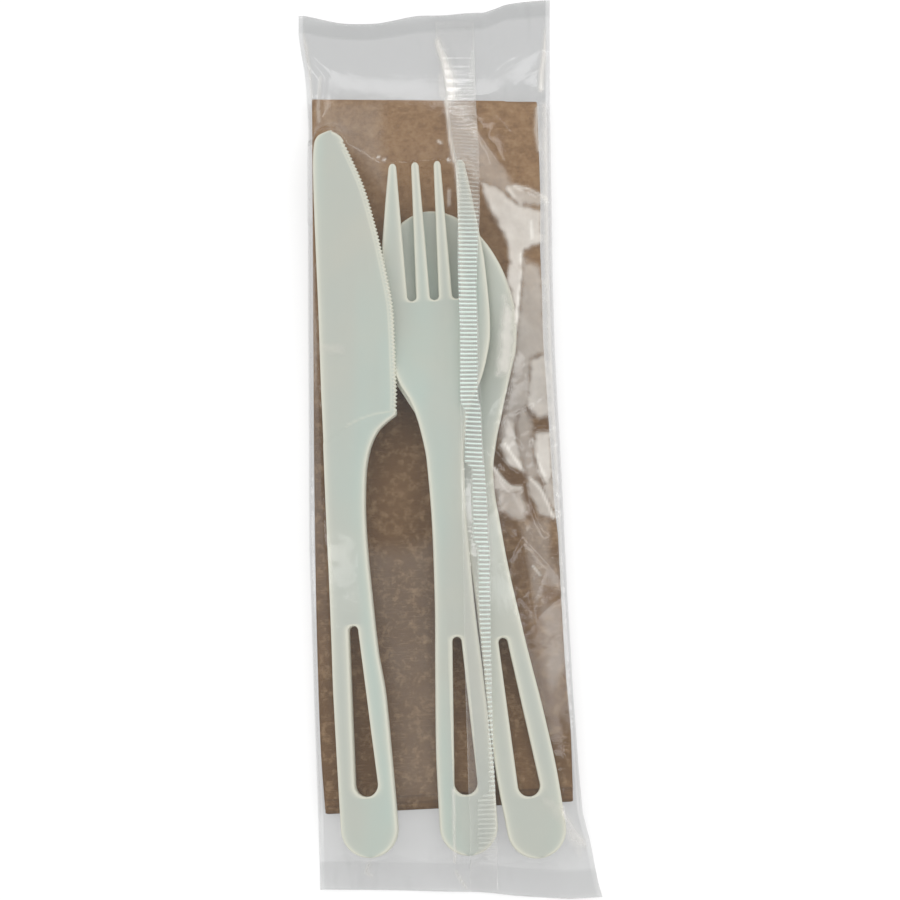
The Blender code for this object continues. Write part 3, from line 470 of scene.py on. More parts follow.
def film_material(settings, name, shares, ribbed):
    """Clear film: a thin veil, milky and painted with glare where its haze patches say, under a sharp surface gloss.

    The glint attribute marks the lines where a fold catches the light. The shares are how much the front and
    the back cover, and the most that the gloss may cover; the back's heavier grey cover is partly painted shadow.
    """
    clear_share, back_and_shadow_share, gloss_share = shares
    graph = Graph(bpy.data.materials.new(name))
    haze_and_glare = graph.attribute("haze_and_glare")
    seal = graph.attribute("seal")
    sheet = graph.attribute("sheet")
    glint = graph.attribute("glint")
    place = graph.place()
    streak = graph.noise(graph.stretched((260.0, 60.0, 60.0), 0.12), 1.0, 3.0, 0.6)
    mottle = graph.noise(place, 160.0, 3.0, 0.6)
    fine = graph.noise(graph.stretched((500.0, 180.0, 300.0), -0.3), 1.0, 4.0, 0.6)
    milk_and_glare = haze_and_glare * (0.62 + 0.76 * mottle) * settings.haze_and_glare
    white = four(settings.haze_and_glare_colour)
    veil = clear_share + (back_and_shadow_share - clear_share) * sheet + seal * 0.05 + streak.step(0.55, 0.75) * 0.02
    if ribbed:
        rib = graph.attribute("rib")
        knurl = graph.bands(place, "X", settings.knurl_pitch)
        # Painted highlight on the ribs' crests and painted shade in their troughs
        crest_highlight = (rib * (0.75 + 0.5 * knurl)).clip()
        trough_shade = (0.0 - rib).clip()
        milk_and_glare = milk_and_glare + crest_highlight * 0.75
        veil = veil + trough_shade * 0.20
        white = graph.mix((crest_highlight * 2.0).clip(), white, four(settings.rib_highlight_colour))
        height = rib * 0.5 + fine * 0.2
    else:
        wave = graph.bands(place, "Y", settings.rib_pitch)
        height = fine * 0.5 + mottle * 0.8 + seal * wave * 0.8
    # Painted highlights: the glints, like the glare of the haze patches, make the film whiter and more opaque
    milk_and_glare = (milk_and_glare + glint * 0.75).clip(0.0, 0.92)
    colour = graph.mix((milk_and_glare / (milk_and_glare + veil + 0.001)).clip(), four(settings.colour), white)
    normal = graph.bump(height, 0.00012, 0.45)
    skin = graph.add("ShaderNodeBsdfPrincipled", {}, {"Base Color": colour, "Roughness": 0.30,
                                                      "Alpha": (milk_and_glare + veil).clip(0.0, 0.95), "Normal": normal,
                                                      "Specular IOR Level": 0.3})
    gloss = graph.add("ShaderNodeBsdfGlossy", {}, {"Color": WHITE, "Roughness": 0.10,
                                                   "Normal": normal})
    facing = graph.add("ShaderNodeFresnel", {}, {"IOR": 1.42, "Normal": normal})
    return graph.finish(graph.add("ShaderNodeMixShader", {}, (facing.clip(0.0, gloss_share), skin, gloss)))


WALL_TURNS = np.radians(np.linspace(90, -90, 7))


def strip(at, left, right, top, low, radius, shares, left_shut, right_shut):
    """One lengthwise strip of a moulding as rings of points, which cells of it are skin, and how near its edge.

    left and right give where each row of the round side walls runs, for every station. Between them the top
    and the underside are functions of the place across and along. A wall's rows are a half circle of the
    edge radius, drawn apart by what the moulding is thicker. A wall is left out where it is shut on its
    neighbour.
    """
    across = left[0][:, None] + (right[0] - left[0])[:, None] * shares
    along = np.broadcast_to(at[:, None], across.shape)
    inner = slice(1, len(WALL_TURNS) - 1)

    def wall(rows):
        x = rows[inner].T
        s = np.broadcast_to(at[:, None], x.shape)
        upper, under = top(x, s), low(x, s)
        half = (upper - under) / 2
        bend = np.minimum(radius, half)
        rise = np.sin(WALL_TURNS[inner])
        return np.stack((x, -s, (upper + under) / 2 + np.sign(np.round(rise, 9)) * (half - bend) + rise * bend), -1)

    upper = np.stack((across, -along, top(across, along)), -1)
    under = np.stack((across, -along, low(across, along)), -1)
    rings = np.concatenate((upper, wall(right), under[:, ::-1], wall(left)[:, ::-1]), axis=1)
    cells = shares.shape[-1] - 1
    keep = np.ones((len(at) - 1, rings.shape[1]), bool)
    for shut, columns in ((right_shut, slice(cells, cells + len(WALL_TURNS) - 1)),
                          (left_shut[::-1], slice(2 * cells + len(WALL_TURNS) - 1, None))):
        both = shut[:, :-1] & shut[:, 1:]
        keep[:, columns] = ~(both[:-1] & both[1:]).T
    # How near each point is to an open edge, one on the walls: this places the painted edge highlight
    near_left = np.where(left_shut[0][:, None], 1.0, across - left[0][:, None])
    near_right = np.where(right_shut[0][:, None], 1.0, right[0][:, None] - across)
    near = np.exp(-np.minimum(near_left, near_right) / (0.5 * MM))
    walls = np.ones((len(at), len(WALL_TURNS) - 2))
    edge = np.concatenate((near, walls, near[:, ::-1], walls), axis=1)
    return rings, keep, edge


def moulding(name, place, strips):
    """Join strips into one closed piece, laid in its place in the pack."""
    verts, faces, edges, first = [], [], [], 0
    for rings, keep, edge in strips:
        rows, count = rings.shape[:2]
        index = first + np.arange(rows * count).reshape(rows, count)
        after = np.roll(index, -1, axis=1)
        cells = np.stack((index[:-1], after[:-1], after[1:], index[1:]), axis=-1)
        faces += cells[keep].tolist()
        faces += [index[0].tolist(), index[-1].tolist()]
        verts.append(rings.reshape(-1, 3))
        edges.append(edge.ravel())
        first += rows * count
    grid = np.array(place_matrix(place))
    verts = np.concatenate(verts) @ grid[:3, :3].T + grid[:3, 3]
    return new_piece(name, verts, faces, {"edge": np.concatenate(edges)}, 50.0)


def inset_rows(side, at, radius, toward, shrink):
    """The rows of an outer wall: the side's line drawn in by each row's share of the edge radius."""
    slope = np.clip(np.gradient(side, at), -2.5, 2.5)
    drawn = radius * (1 - np.cos(WALL_TURNS))[:, None] * np.sqrt(1 + slope**2) * shrink
    return side + toward * drawn


def slot_half(at, slot, length, grown):
    """Half the width of a handle's slot, grown by an amount: straight sides between two round ends."""
    to_end, run, wide, narrow = (value * MM for value in slot[:4])
    wide_at = length - to_end
    radius = np.interp(at, (wide_at - run, wide_at), (narrow, wide)) + grown
    beyond = np.maximum(np.maximum(wide_at - run - at, at - wide_at), 0)
    return np.sqrt(np.maximum(radius**2 - beyond**2, 0))


def gap_half(at, grown):
    """Half the width of the gap between two tines, grown by an amount: open at the tips, round at its root."""
    tip, root = TINE_GAP_HALVES
    root_at = TINE_LENGTH - root
    radius = np.interp(at, (0, root_at), (tip, root)) + grown
    beyond = np.maximum(at - root_at, 0)
    return np.sqrt(np.maximum(radius**2 - beyond**2, 0))


def opening_rows(middle, at, half, radius):
    """The two walls of an opening round a middle line, and where each row of them is shut."""
    grown = radius * (1 - np.cos(WALL_TURNS))
    halves = np.array([half(at, g) for g in grown])
    return middle - halves, middle + halves, halves <= 0


def end_shrink(at, length):
    """How much of its thickness a moulding keeps near its ends, which are rounded over."""
    return round_end(np.minimum(at, length - at) + 0.1 * MM, 0.8 * MM)


def crown(across):
    """How far a face falls towards its sides, which are softened."""
    return 0.14 * MM * np.abs(np.clip(across, -1, 1)) ** 6


def slot_breaks(slot, length):
    """Where a slot starts and ends along its handle."""
    to_end, run, wide, narrow = (value * MM for value in slot[:4])
    return length - to_end - run - narrow, length - to_end + wide


def make_spoon(settings):
    """The spoon. Half its width is an ellipse round the bowl, then a curve down the handle.

    Its top is the rim's height less the bowl's depth times one minus the square of the place across.
    """
    def half_width(at):
        bowl = SPOON_BOWL[1] * round_end(at, SPOON_BOWL[0])
        handle = smooth_curve(SPOON_WIDTHS, at) * round_end(SPOON_LENGTH - at, HANDLE_END_RADIUS)
        return np.maximum(np.where(at < SPOON_BOWL[0], bowl, handle), LEAST_HALF)

    def top(x, at):
        half = half_width(at)
        across = np.clip(np.abs(x) / np.maximum(half - SPOON_LIP, 0.3 * half), 0, 1)
        fall = smooth_curve(SPOON_DEPTH, at) * (1 - across**2)
        drop = thickness(at) * (1 - end_shrink(at, SPOON_LENGTH)) / 2
        return smooth_curve(SPOON_RIM, at) - fall - crown(x / half) - drop

    def low(x, at):
        half = half_width(at)
        across = np.clip(np.abs(x) / half, 0, 1)
        fall = smooth_curve(SPOON_DEPTH, at) * (1 - across**2)
        lift = thickness(at) * (1 - end_shrink(at, SPOON_LENGTH)) / 2
        return smooth_curve(SPOON_RIM, at) - fall - thickness(at) + crown(x / half) + lift

    def thickness(at):
        return smooth_curve(SPOON_THICKNESS, at)

    breaks = (0, SPOON_BOWL[0] * 1.2, *slot_breaks(SPOON_SLOT, SPOON_LENGTH), SPOON_LENGTH)
    at = graded(breaks, (70, 130, 110, 40))
    shrink = end_shrink(at, SPOON_LENGTH)
    side = half_width(at)
    radius = settings.edge_radius
    left = inset_rows(-side, at, radius, 1, shrink)
    right = inset_rows(side, at, radius, -1, shrink)
    slot = opening_rows(0.0, at, lambda s, g: slot_half(s, SPOON_SLOT, SPOON_LENGTH, g), radius)
    left, right = np.minimum(left, slot[0]), np.maximum(right, slot[1])
    shares = 0.5 - 0.5 * np.cos(np.linspace(0, math.pi, 15))
    shut = np.zeros(left.shape, bool)
    return moulding("moulded_spoon", SPOON_PLACE, (
        strip(at, left, slot[0], top, low, radius, shares, shut, slot[2]),
        strip(at, slot[1], right, top, low, radius, shares, slot[2], shut)))


def make_fork(settings):
    """The fork. Four strips run its whole length: the three lines between them open as the tine gaps.

    The middle line opens again as the handle's slot. Its top is the rim's height less a shallow dish.
    """
    def half_width(at):
        handle = smooth_curve(FORK_WIDTHS, at) * round_end(FORK_LENGTH - at, HANDLE_END_RADIUS)
        return np.maximum(handle, LEAST_HALF)

    def dish(x, at):
        across = np.clip(x / half_width(at), -1, 1)
        return smooth_curve(FORK_RIM, at) - smooth_curve(FORK_DEPTH, at) * (1 - across ** 2)

    def thinning(x, at):
        taken = smooth_curve(FORK_THICKNESS, at) * (1 - end_shrink(at, FORK_LENGTH)) / 2
        return crown(x / half_width(at)) + taken

    def top(x, at):
        return dish(x, at) - thinning(x, at)

    def low(x, at):
        return dish(x, at) - smooth_curve(FORK_THICKNESS, at) + thinning(x, at)

    breaks = (0, TINE_LENGTH, *slot_breaks(FORK_SLOT, FORK_LENGTH), FORK_LENGTH)
    at = graded(breaks, (90, 150, 100, 40))
    shrink = end_shrink(at, FORK_LENGTH)
    radius = settings.edge_radius
    side = half_width(at)
    keep_in = np.minimum(side / half_width(np.array(TINE_LENGTH)), 1.0) * (at > TINE_LENGTH) + (at <= TINE_LENGTH)
    openings = []
    for place in TINE_GAPS:
        openings.append(list(opening_rows(place * keep_in, at, gap_half, radius)))
    slot = opening_rows(0.0, at, lambda s, g: slot_half(s, FORK_SLOT, FORK_LENGTH, g), radius)
    in_handle = at > TINE_LENGTH + 10 * MM
    openings[1] = [np.where(in_handle, a, b) for a, b in zip(slot, openings[1])]
    shut = np.zeros((len(WALL_TURNS), len(at)), bool)
    lefts = [inset_rows(-side, at, radius, 1, shrink)] + [opening[1] for opening in openings]
    rights = [opening[0] for opening in openings] + [inset_rows(side, at, radius, -1, shrink)]
    left_shuts = [shut] + [opening[2] for opening in openings]
    right_shuts = [opening[2] for opening in openings] + [shut]
    shares = 0.5 - 0.5 * np.cos(np.linspace(0, math.pi, 9))
    strips = []
    for left, right, left_shut, right_shut in zip(lefts, rights, left_shuts, right_shuts):
        middle = (left + right).mean(axis=0) / 2
        narrow = np.where(at < TINE_LENGTH / 2, round_end(at + 0.05 * MM, TINE_TIP_RADIUS), 1.0)
        left, right = (middle + (rows - middle) * narrow for rows in (left, right))
        right = np.maximum(right, left)
        strips.append(strip(at, left, right, top, low, radius, shares, left_shut, right_shut))
    return moulding("moulded_fork", FORK_PLACE, strips)


def make_knife(settings):
    """The knife. A blade that thins in two bevels to its toothed side, and steps up to a flat handle.

    The teeth are a zigzag taken off the side, and each gap between two runs on as a groove over the bevel.
    """
    def spine(at):
        return smooth_curve(KNIFE_SPINE, at)

    def side(at):
        return smooth_curve(KNIFE_EDGE, at)

    def tooth(at):
        phase = (at - TEETH[0]) / settings.tooth_pitch % 1.0
        return (1 - 2 * np.abs(phase - 0.5)) * ((at > TEETH[0]) & (at < TEETH[1]))

    def half_thickness(x, at):
        step = ramp(at - np.interp(x, *np.array(KNIFE_STEP).T * MM), -0.1 * MM, 0.5 * MM)
        half = (1.3 + 0.55 * step + 0.15 * ramp(at, 72 * MM, 80 * MM)) / 2 * MM
        from_side = side(at) - x
        thin = np.interp(from_side, *(np.array(BEVEL).T * np.array([[MM], [1.0]])))
        thin = thin + (1 - thin) * step
        return half * thin * end_shrink(at, KNIFE_LENGTH)

    def middle(at):
        return smooth_curve(KNIFE_RIM, at) - smooth_curve(KNIFE_THICKNESS, at) / 2

    def across(x, at):
        return (2 * x - side(at) - spine(at)) / (side(at) - spine(at))

    def softened(x, at):
        return crown(across(x, at)) * ramp(at, 66 * MM, 74 * MM)

    def top(x, at):
        groove = tooth(at) * ramp(side(at) - x, 1.3 * MM, 0.5 * MM)
        return middle(at) + half_thickness(x, at) - 0.16 * MM * groove - softened(x, at)

    def low(x, at):
        return middle(at) - half_thickness(x, at) + softened(x, at)

    teeth = np.arange(TEETH[0], TEETH[1], settings.tooth_pitch / 6)
    tip = graded((0, TEETH[0]), (40,))
    breaks = (TEETH[1], 80 * MM, *slot_breaks(KNIFE_SLOT, KNIFE_LENGTH), KNIFE_LENGTH)
    handle = graded(breaks, (50, 70, 110, 40))
    at = np.unique(np.concatenate((tip, teeth, handle)).round(7))
    shrink = end_shrink(at, KNIFE_LENGTH)
    radius = settings.edge_radius
    rounding = round_end(KNIFE_LENGTH - at, HANDLE_END_RADIUS)
    middle_line = (side(at) + spine(at)) / 2
    left_side = middle_line + (spine(at) - middle_line) * rounding
    right_side = middle_line + (side(at) - middle_line) * rounding
    left = inset_rows(left_side, at, radius, 1, shrink)
    right = inset_rows(right_side, at, radius * 0.8, -1, shrink) - settings.tooth_depth * tooth(at)
    to_end, run, lean = (KNIFE_SLOT[k] * MM for k in (0, 1, 4))
    line = np.interp(at, (30 * MM, KNIFE_LENGTH - to_end - run, KNIFE_LENGTH - to_end, KNIFE_LENGTH - 5 * MM),
                     (0.0, -lean, 0.0, middle_line[-1]))
    slot = opening_rows(line, at, lambda s, g: slot_half(s, KNIFE_SLOT, KNIFE_LENGTH, g), radius)
    left, right = np.minimum(left, slot[0]), np.maximum(right, slot[1])
    shares = 0.5 - 0.5 * np.cos(np.linspace(0, math.pi, 9))
    room = right[0] - slot[1][0]
    near = np.array(BLADE_COLUMNS)[::-1] * MM * np.minimum(room / (6 * MM), 1.0)[:, None]
    near = np.clip(1 - near / np.maximum(room, 1e-6)[:, None], 0, 1)
    columns = np.concatenate((near[:, :1] * np.linspace(0, 1, 6)[:-1], near, np.ones((len(at), 1))), axis=1)
    shut = np.zeros(left.shape, bool)
    rings, keep, edge = strip(at, slot[1], right, top, low, radius * 0.8, columns, slot[2], shut)
    in_blade = ramp(at, 4 * MM, 6 * MM) * ramp(at, 70 * MM, 67 * MM)
    inward = side(at)[:, None] - rings[..., 0]
    # Painted highlights: bright lines along the bevel and, at half strength, along the step up to the handle
    bevel_highlight_lines = [strength * np.exp(-((inward - way) / width) ** 2) for way, width, strength in BEVEL_HIGHLIGHTS]
    from_step = at[:, None] - np.interp(rings[..., 0], *np.array(KNIFE_STEP).T * MM)
    step_highlight = np.exp(-(np.abs(from_step) / (0.3 * MM)) ** 2)
    edge = np.max([edge, *(line * in_blade[:, None] for line in bevel_highlight_lines), 0.5 * step_highlight], axis=0)
    return moulding("moulded_knife", KNIFE_PLACE, (
        strip(at, left, slot[0], top, low, radius, shares, shut, slot[2]), (rings, keep, edge)))


def make_napkin(settings):
    """The folded sheet: one thick path of panels in a zigzag, joined by round folds, drawn along the pack.

    Each panel ends a little short of the one below it. The whole stack sinks in soft hollows, more the
    higher a panel lies, so that no two panels meet.
    """
    low, high = (np.array(corner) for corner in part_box("napkin"))
    thick = 2 * NAPKIN_PLY
    pitch = (high[2] - low[2] - thick) / (NAPKIN_PANELS - 1)
    reach = (high[0] - low[0]) / 2 - pitch / 2 - thick / 2
    path, away, panel = [], [], []
    for number in range(NAPKIN_PANELS):
        side = 1 if number % 2 == 0 else -1
        height = low[2] + number * pitch + thick / 2
        x = np.linspace(-side, side, 29) * reach
        path.append(np.stack((x, np.full(29, height)), 1))
        away.append(np.tile((0.0, side), (29, 1)))
        panel.append(np.full(29, number, float))
        if number < NAPKIN_PANELS - 1:
            turn = np.radians(np.linspace(-72, 72, 7))
            path.append(np.stack((side * (reach + pitch / 2 * np.cos(turn)),
                                  height + pitch / 2 * (1 + np.sin(turn))), 1))
            away.append(np.stack((-np.cos(turn), -side * np.sin(turn)), 1))
            panel.append(number + 0.5 + turn / math.pi)
    path, away, panel = (np.concatenate(part) for part in (path, away, panel))
    shares = np.linspace(0, 1, 111)[:, None]
    short = np.interp(panel, range(NAPKIN_PANELS), NAPKIN_STAGGER)
    skew = 0.35 * MM * np.sin(2.2 * panel)
    step = 0.6 * MM * ramp(path[:, 0], 19 * MM, 21 * MM) * (panel > 3.5)
    top_end = high[1] + 0.3 * MM - step + np.minimum(skew, 0) * 0.5
    top_end = top_end - NAPKIN_SLANT * (path[:, 0] / reach + 1) / 2
    bottom_end = low[1] + short + 0.4 * MM * path[:, 0] / reach
    y = bottom_end + (top_end - bottom_end) * shares
    left, right = (from_picture(line, high[2])[::-1] for line in (NAPKIN_LEFT, NAPKIN_RIGHT))
    left = smooth_curve(left[:, ::-1], y, 1.0)
    right = smooth_curve(right[:, ::-1], y, 1.0)
    half = (right - left) / 2 - pitch / 2 - thick / 2
    verts = []
    for wall in (1, -1):
        x = (left + right) / 2 + path[:, 0] * half / reach + wall * away[:, 0] * NAPKIN_PLY
        z = path[:, 1] + wall * away[:, 1] * NAPKIN_PLY + 0 * y
        hollow = 0.5 - 0.5 * ripples(x, y, (60 * MM, 45 * MM, 33 * MM, 24 * MM, 19 * MM), 11)
        crease = np.exp(-(np.abs(ripples(x, y, (52 * MM, 38 * MM, 70 * MM), 4)) / 0.05) ** 1.2)
        share = (z - low[2]) / (high[2] - low[2])
        verts.append(np.stack((x, y, z - settings.hollow * share * (0.7 * hollow + 0.3 * crease)), -1))
    rows, count = y.shape
    grid = np.arange(rows * count).reshape(rows, count)
    inner, outer = grid, grid + rows * count
    ring = np.concatenate((inner, outer[:, ::-1]), axis=1)
    after = np.roll(ring, -1, axis=1)
    faces = np.stack((ring[:-1], after[:-1], after[1:], ring[1:]), -1).reshape(-1, 4).tolist()
    for row in (0, -1):
        a, b = inner[row], outer[row]
        faces += np.stack((a[:-1], a[1:], b[1:], b[:-1]), -1).tolist()
    return new_piece("folded_napkin", np.concatenate([part.reshape(-1, 3) for part in verts]), faces, {}, 40.0)


# Patches of haze and painted glare on the film in picture coordinates: how milky, how soft the border is in pixels,
# the outline
HAZE_AND_GLARE_PATCHES = (
    (0.38, 2.0, ((446, 101), (467, 101), (473, 120), (480, 136), (488, 148), (501, 165), (513, 185), (541, 197),
                 (541, 206), (522, 205), (508, 194), (496, 187), (480, 180), (478, 183), (463, 161), (452, 163))),
    (0.50, 3.0, ((438, 38), (440, 50), (452, 65), (456, 80), (461, 101), (446, 101), (443, 70), (438, 50))),
    (0.75, 2.0, ((506, 186), (516, 186), (541, 199), (541, 206), (524, 204), (512, 198))),
    (1.05, 2.0, ((480, 182), (497, 188), (520, 206), (541, 212), (541, 242), (525, 250), (521, 257), (520, 300),
                 (517, 330), (512, 296), (508, 280), (510, 262), (508, 245), (504, 232), (496, 220), (487, 200))),
    (0.62, 3.0, ((522, 256), (541, 268), (544, 300), (546, 352), (531, 358), (514, 372), (516, 335), (520, 300))),
    (0.55, 3.0, ((514, 350), (531, 358), (531, 400), (520, 412), (508, 440), (500, 440), (506, 405), (511, 380))),
    (0.80, 2.5, ((531, 361), (546, 352), (550, 380), (551, 416), (537, 418), (527, 404))),
    (0.90, 1.8, ((508, 416), (513, 424), (517, 440), (521, 462), (521, 470), (508, 464), (500, 446), (504, 436))),
    (0.50, 3.0, ((520, 400), (532, 420), (533, 450), (541, 476), (534, 482), (527, 480), (520, 455), (515, 430))),
    (1.10, 2.0, ((535, 433), (550, 433), (552, 470), (549, 484), (543, 482), (537, 464))),
    (0.80, 1.5, ((494, 468), (503, 479), (510, 487), (520, 488), (520, 492), (506, 493), (495, 488))),
    (0.56, 2.5, ((495, 488), (521, 491), (527, 505), (525, 522), (512, 518), (499, 510))),
    (0.70, 2.0, ((529, 476), (538, 480), (549, 500), (556, 517), (540, 515), (533, 500), (527, 485))),
    (0.75, 2.0, ((543, 486), (553, 476), (556, 500), (556, 517), (549, 502))),
    (0.28, 4.0, ((520, 522), (550, 518), (552, 560), (561, 575), (562, 590), (545, 586), (533, 620), (528, 570))),
    (0.26, 4.0, ((540, 600), (562, 606), (566, 665), (552, 690), (540, 640))),
    (0.70, 2.5, ((543, 104), (549, 104), (551, 184), (553, 280), (555, 350), (558, 400), (562, 480), (569, 600),
                 (576, 720), (571, 720), (559, 540), (550, 420), (546, 330), (543, 200))),
    (0.90, 3.0, ((504, 296), (513, 312), (514, 350), (508, 374), (497, 374), (500, 350))),
    (0.10, 9.0, ((367, 552), (400, 548), (433, 545), (437, 700), (437, 796), (400, 800), (392, 700), (378, 620))),
    (0.40, 4.0, ((320, 344), (342, 345), (343, 352), (322, 352))),
    (0.14, 6.0, ((320, 104), (380, 104), (385, 190), (352, 150), (322, 128))),
    (0.45, 3.0, ((562, 811), (570, 826), (583, 843), (580, 856), (566, 832))),
    (0.40, 3.5, ((542, 799), (552, 799), (562, 815), (558, 820))),
)
# Patches that stay clear
CLEAR_PATCHES = (
    (0.20, 2.0, ((480, 203), (487, 206), (496, 226), (503, 240), (507, 262), (506, 278), (494, 258), (480, 240))),
    (0.55, 2.0, ((524, 250), (538, 246), (539, 262), (526, 264))),
    (0.75, 1.5, ((495, 462), (508, 468), (518, 474), (526, 482), (523, 488), (511, 486), (503, 478))),
    (0.60, 2.0, ((537, 422), (550, 421), (550, 431), (537, 431))),
    (0.90, 2.0, ((498, 511), (506, 514), (520, 532), (524, 545), (530, 580), (535, 610), (520, 622))),
    (0.80, 3.0, ((551, 520), (557, 522), (558, 558), (550, 556))),
    (0.60, 3.0, ((545, 588), (561, 586), (562, 602), (552, 602))),
)
# Creases of the film in picture coordinates: how high, how wide in pixels, and the line
CREASES = (
    (0.30, 3.0, ((470, 118), (487, 146), (512, 184), (541, 196), (552, 204))),
    (0.25, 2.5, ((468, 160), (490, 205), (505, 236), (509, 262), (511, 290), (516, 318))),
    (0.22, 2.5, ((541, 200), (541, 236), (523, 253), (522, 270), (519, 300))),
    (0.22, 2.5, ((528, 372), (531, 395), (538, 425), (552, 425))),
    (0.30, 2.0, ((496, 444), (512, 464), (522, 470), (524, 480), (520, 489), (511, 487), (503, 478))),
    (0.25, 2.0, ((526, 482), (530, 500), (538, 520), (545, 533))),
    (0.25, 2.0, ((530, 430), (537, 460), (548, 484), (556, 512))),
    (0.20, 3.0, ((519, 523), (524, 540), (537, 620), (545, 665), (560, 760))),
    (0.30, 3.0, ((300, 30), (311, 60), (325, 78), (319, 131))),
    (0.25, 2.5, ((547, 30), (542, 60), (540, 90), (538, 131))),
    (0.25, 3.0, ((562, 811), (570, 826), (583, 843), (590, 860))),
    (0.20, 3.0, ((542, 799), (556, 812), (575, 830))),
    (0.18, 3.5, ((330, 812), (350, 835), (356, 860))),
    (0.15, 3.5, ((396, 806), (408, 830), (404, 862))),
    (0.15, 3.5, ((500, 806), (498, 835), (508, 868))),
)
# Lines and dots that catch the light, in picture coordinates: how bright, how wide in pixels, and the line
GLINTS = (
    (0.75, 2.4, ((547, 30), (545, 50), (542, 70), (541, 90))),
    (0.55, 1.8, ((537, 108), (536, 130), (539, 150))),
    (0.55, 3.2, ((438, 42), (444, 60), (449, 80), (452, 98))),
    (0.30, 2.0, ((440, 76), (441, 95))),
    (0.65, 1.6, ((446, 100), (450, 140), (456, 168), (459, 196))),
    (0.60, 1.8, ((515, 186), (530, 190), (541, 196), (552, 204))),
    (0.45, 2.0, ((508, 189), (515, 198), (521, 204))),
    (0.50, 1.4, ((521, 254), (521, 275), (518, 300), (516, 322))),
    (0.35, 1.6, ((531, 222), (532, 238))),
    (0.50, 1.6, ((493, 467), (503, 480), (511, 487), (520, 487), (522, 489))),
    (0.45, 1.4, ((530, 478), (541, 490), (549, 506), (553, 518))),
    (0.45, 1.4, ((505, 444), (513, 456), (524, 472))),
    (0.35, 1.4, ((533, 440), (538, 462), (545, 476))),
    (0.40, 1.3, ((533, 566), (540, 575))),
    (0.40, 2.2, ((300, 30), (306, 48), (309, 75), (311, 100))),
    (0.35, 1.8, ((320, 78), (318, 108), (319, 122))),
    (0.30, 2.5, ((560, 806), (572, 826), (586, 846))),
    (0.35, 2.0, ((370, 862), (366, 872), (372, 876))),
    (0.40, 1.8, ((456, 872), (466, 888))),
    (0.55, 1.5, ((453, 790), (454, 800), (454, 830), (455, 862))),
    (0.80, 1.2, ((378, 157), (378.5, 157))),
    (0.90, 1.2, ((384, 159.5), (384.5, 160))),
    (0.70, 1.2, ((438, 141), (441, 143))),
    (0.80, 1.2, ((448, 159), (449, 161))),
    (0.50, 1.2, ((449, 190), (449, 205))),
)


def edge_distances(points, line, closed):
    """The distance in the picture from each point to the nearest stretch of a line."""
    line = np.asarray(line, float)
    ends = np.roll(line, -1, axis=0) if closed else line[1:]
    starts = line if closed else line[:-1]
    best = np.full(points.shape[:-1], np.inf)
    for start, end in zip(starts, ends):
        run = end - start
        share = np.clip(((points - start) @ run) / (run @ run), 0, 1)
        best = np.minimum(best, np.linalg.norm(points - start - share[..., None] * run, axis=-1))
    return best


def inside(points, outline):
    """Whether each point lies inside an outline, by how often a level line from it meets the sides."""
    x, y = points[..., 0], points[..., 1]
    outline = np.asarray(outline, float)
    result = np.zeros(x.shape, bool)
    for (ax, ay), (bx, by) in zip(outline, np.roll(outline, -1, axis=0)):
        if ay != by:
            result ^= ((ay > y) != (by > y)) & (x < ax + (bx - ax) * (y - ay) / (by - ay))
    return result


def patches(points, shapes):
    """How strongly each point of the picture is in one of the patches, whose borders are soft and ragged."""
    total = np.zeros(points.shape[:-1])
    x, y = points[..., 0], points[..., 1]
    ragged = 1.7 * ripples(x, y, (34, 21, 13, 9), 7) + 0.7 * ripples(x, y, (6, 8, 11), 8)
    for strength, soft, outline in shapes:
        distance = edge_distances(points, outline, True)
        signed = np.where(inside(points, outline), distance, -distance)
        soft = soft * HAZE_SOFTNESS
        total = np.maximum(total, strength * ramp(signed + ragged, -soft, soft))
    return total


def lines(points, shapes):
    """How near each point of the picture is to one of the lines, each with its strength and its width in pixels."""
    total = np.zeros(points.shape[:-1])
    for strength, width, line in shapes:
        distance = edge_distances(points, line, False)
        total = np.maximum(total, strength * np.exp(-(distance / width) ** 2))
    return total


def sleeve_grid():
    """Where the sleeve's front lies in plan, rows from the bottom up, between its side folds.

    A row runs between the bottom cut and the top cut at the same share of the way. A point's place across
    is a share of the way between the left side and the right side at its height.
    """
    left, right = (from_picture(line, FOLD_LEVEL)[::-1] for line in (SLEEVE_LEFT, SLEEVE_RIGHT))
    bottom, top = (from_picture(line, 0.5 * MM) for line in (SLEEVE_BOTTOM, SLEEVE_TOP))
    across = np.linspace(0, 1, SLEEVE_COLUMNS + 1)
    cut = []
    for line in (bottom, top):
        ends = np.interp(across, (0, 1), (line[0, 0], line[-1, 0]))
        cut.append(smooth_curve(line, ends, 1.0))
    share = np.linspace(0, 1, SLEEVE_ROWS + 1)[:, None]
    y = cut[0] + (cut[1] - cut[0]) * share
    start = np.interp(y, left[:, 1], left[:, 0]) + FOLD_REACH
    end = np.interp(y, right[:, 1], right[:, 0]) - FOLD_REACH
    return start + (end - start) * across, y


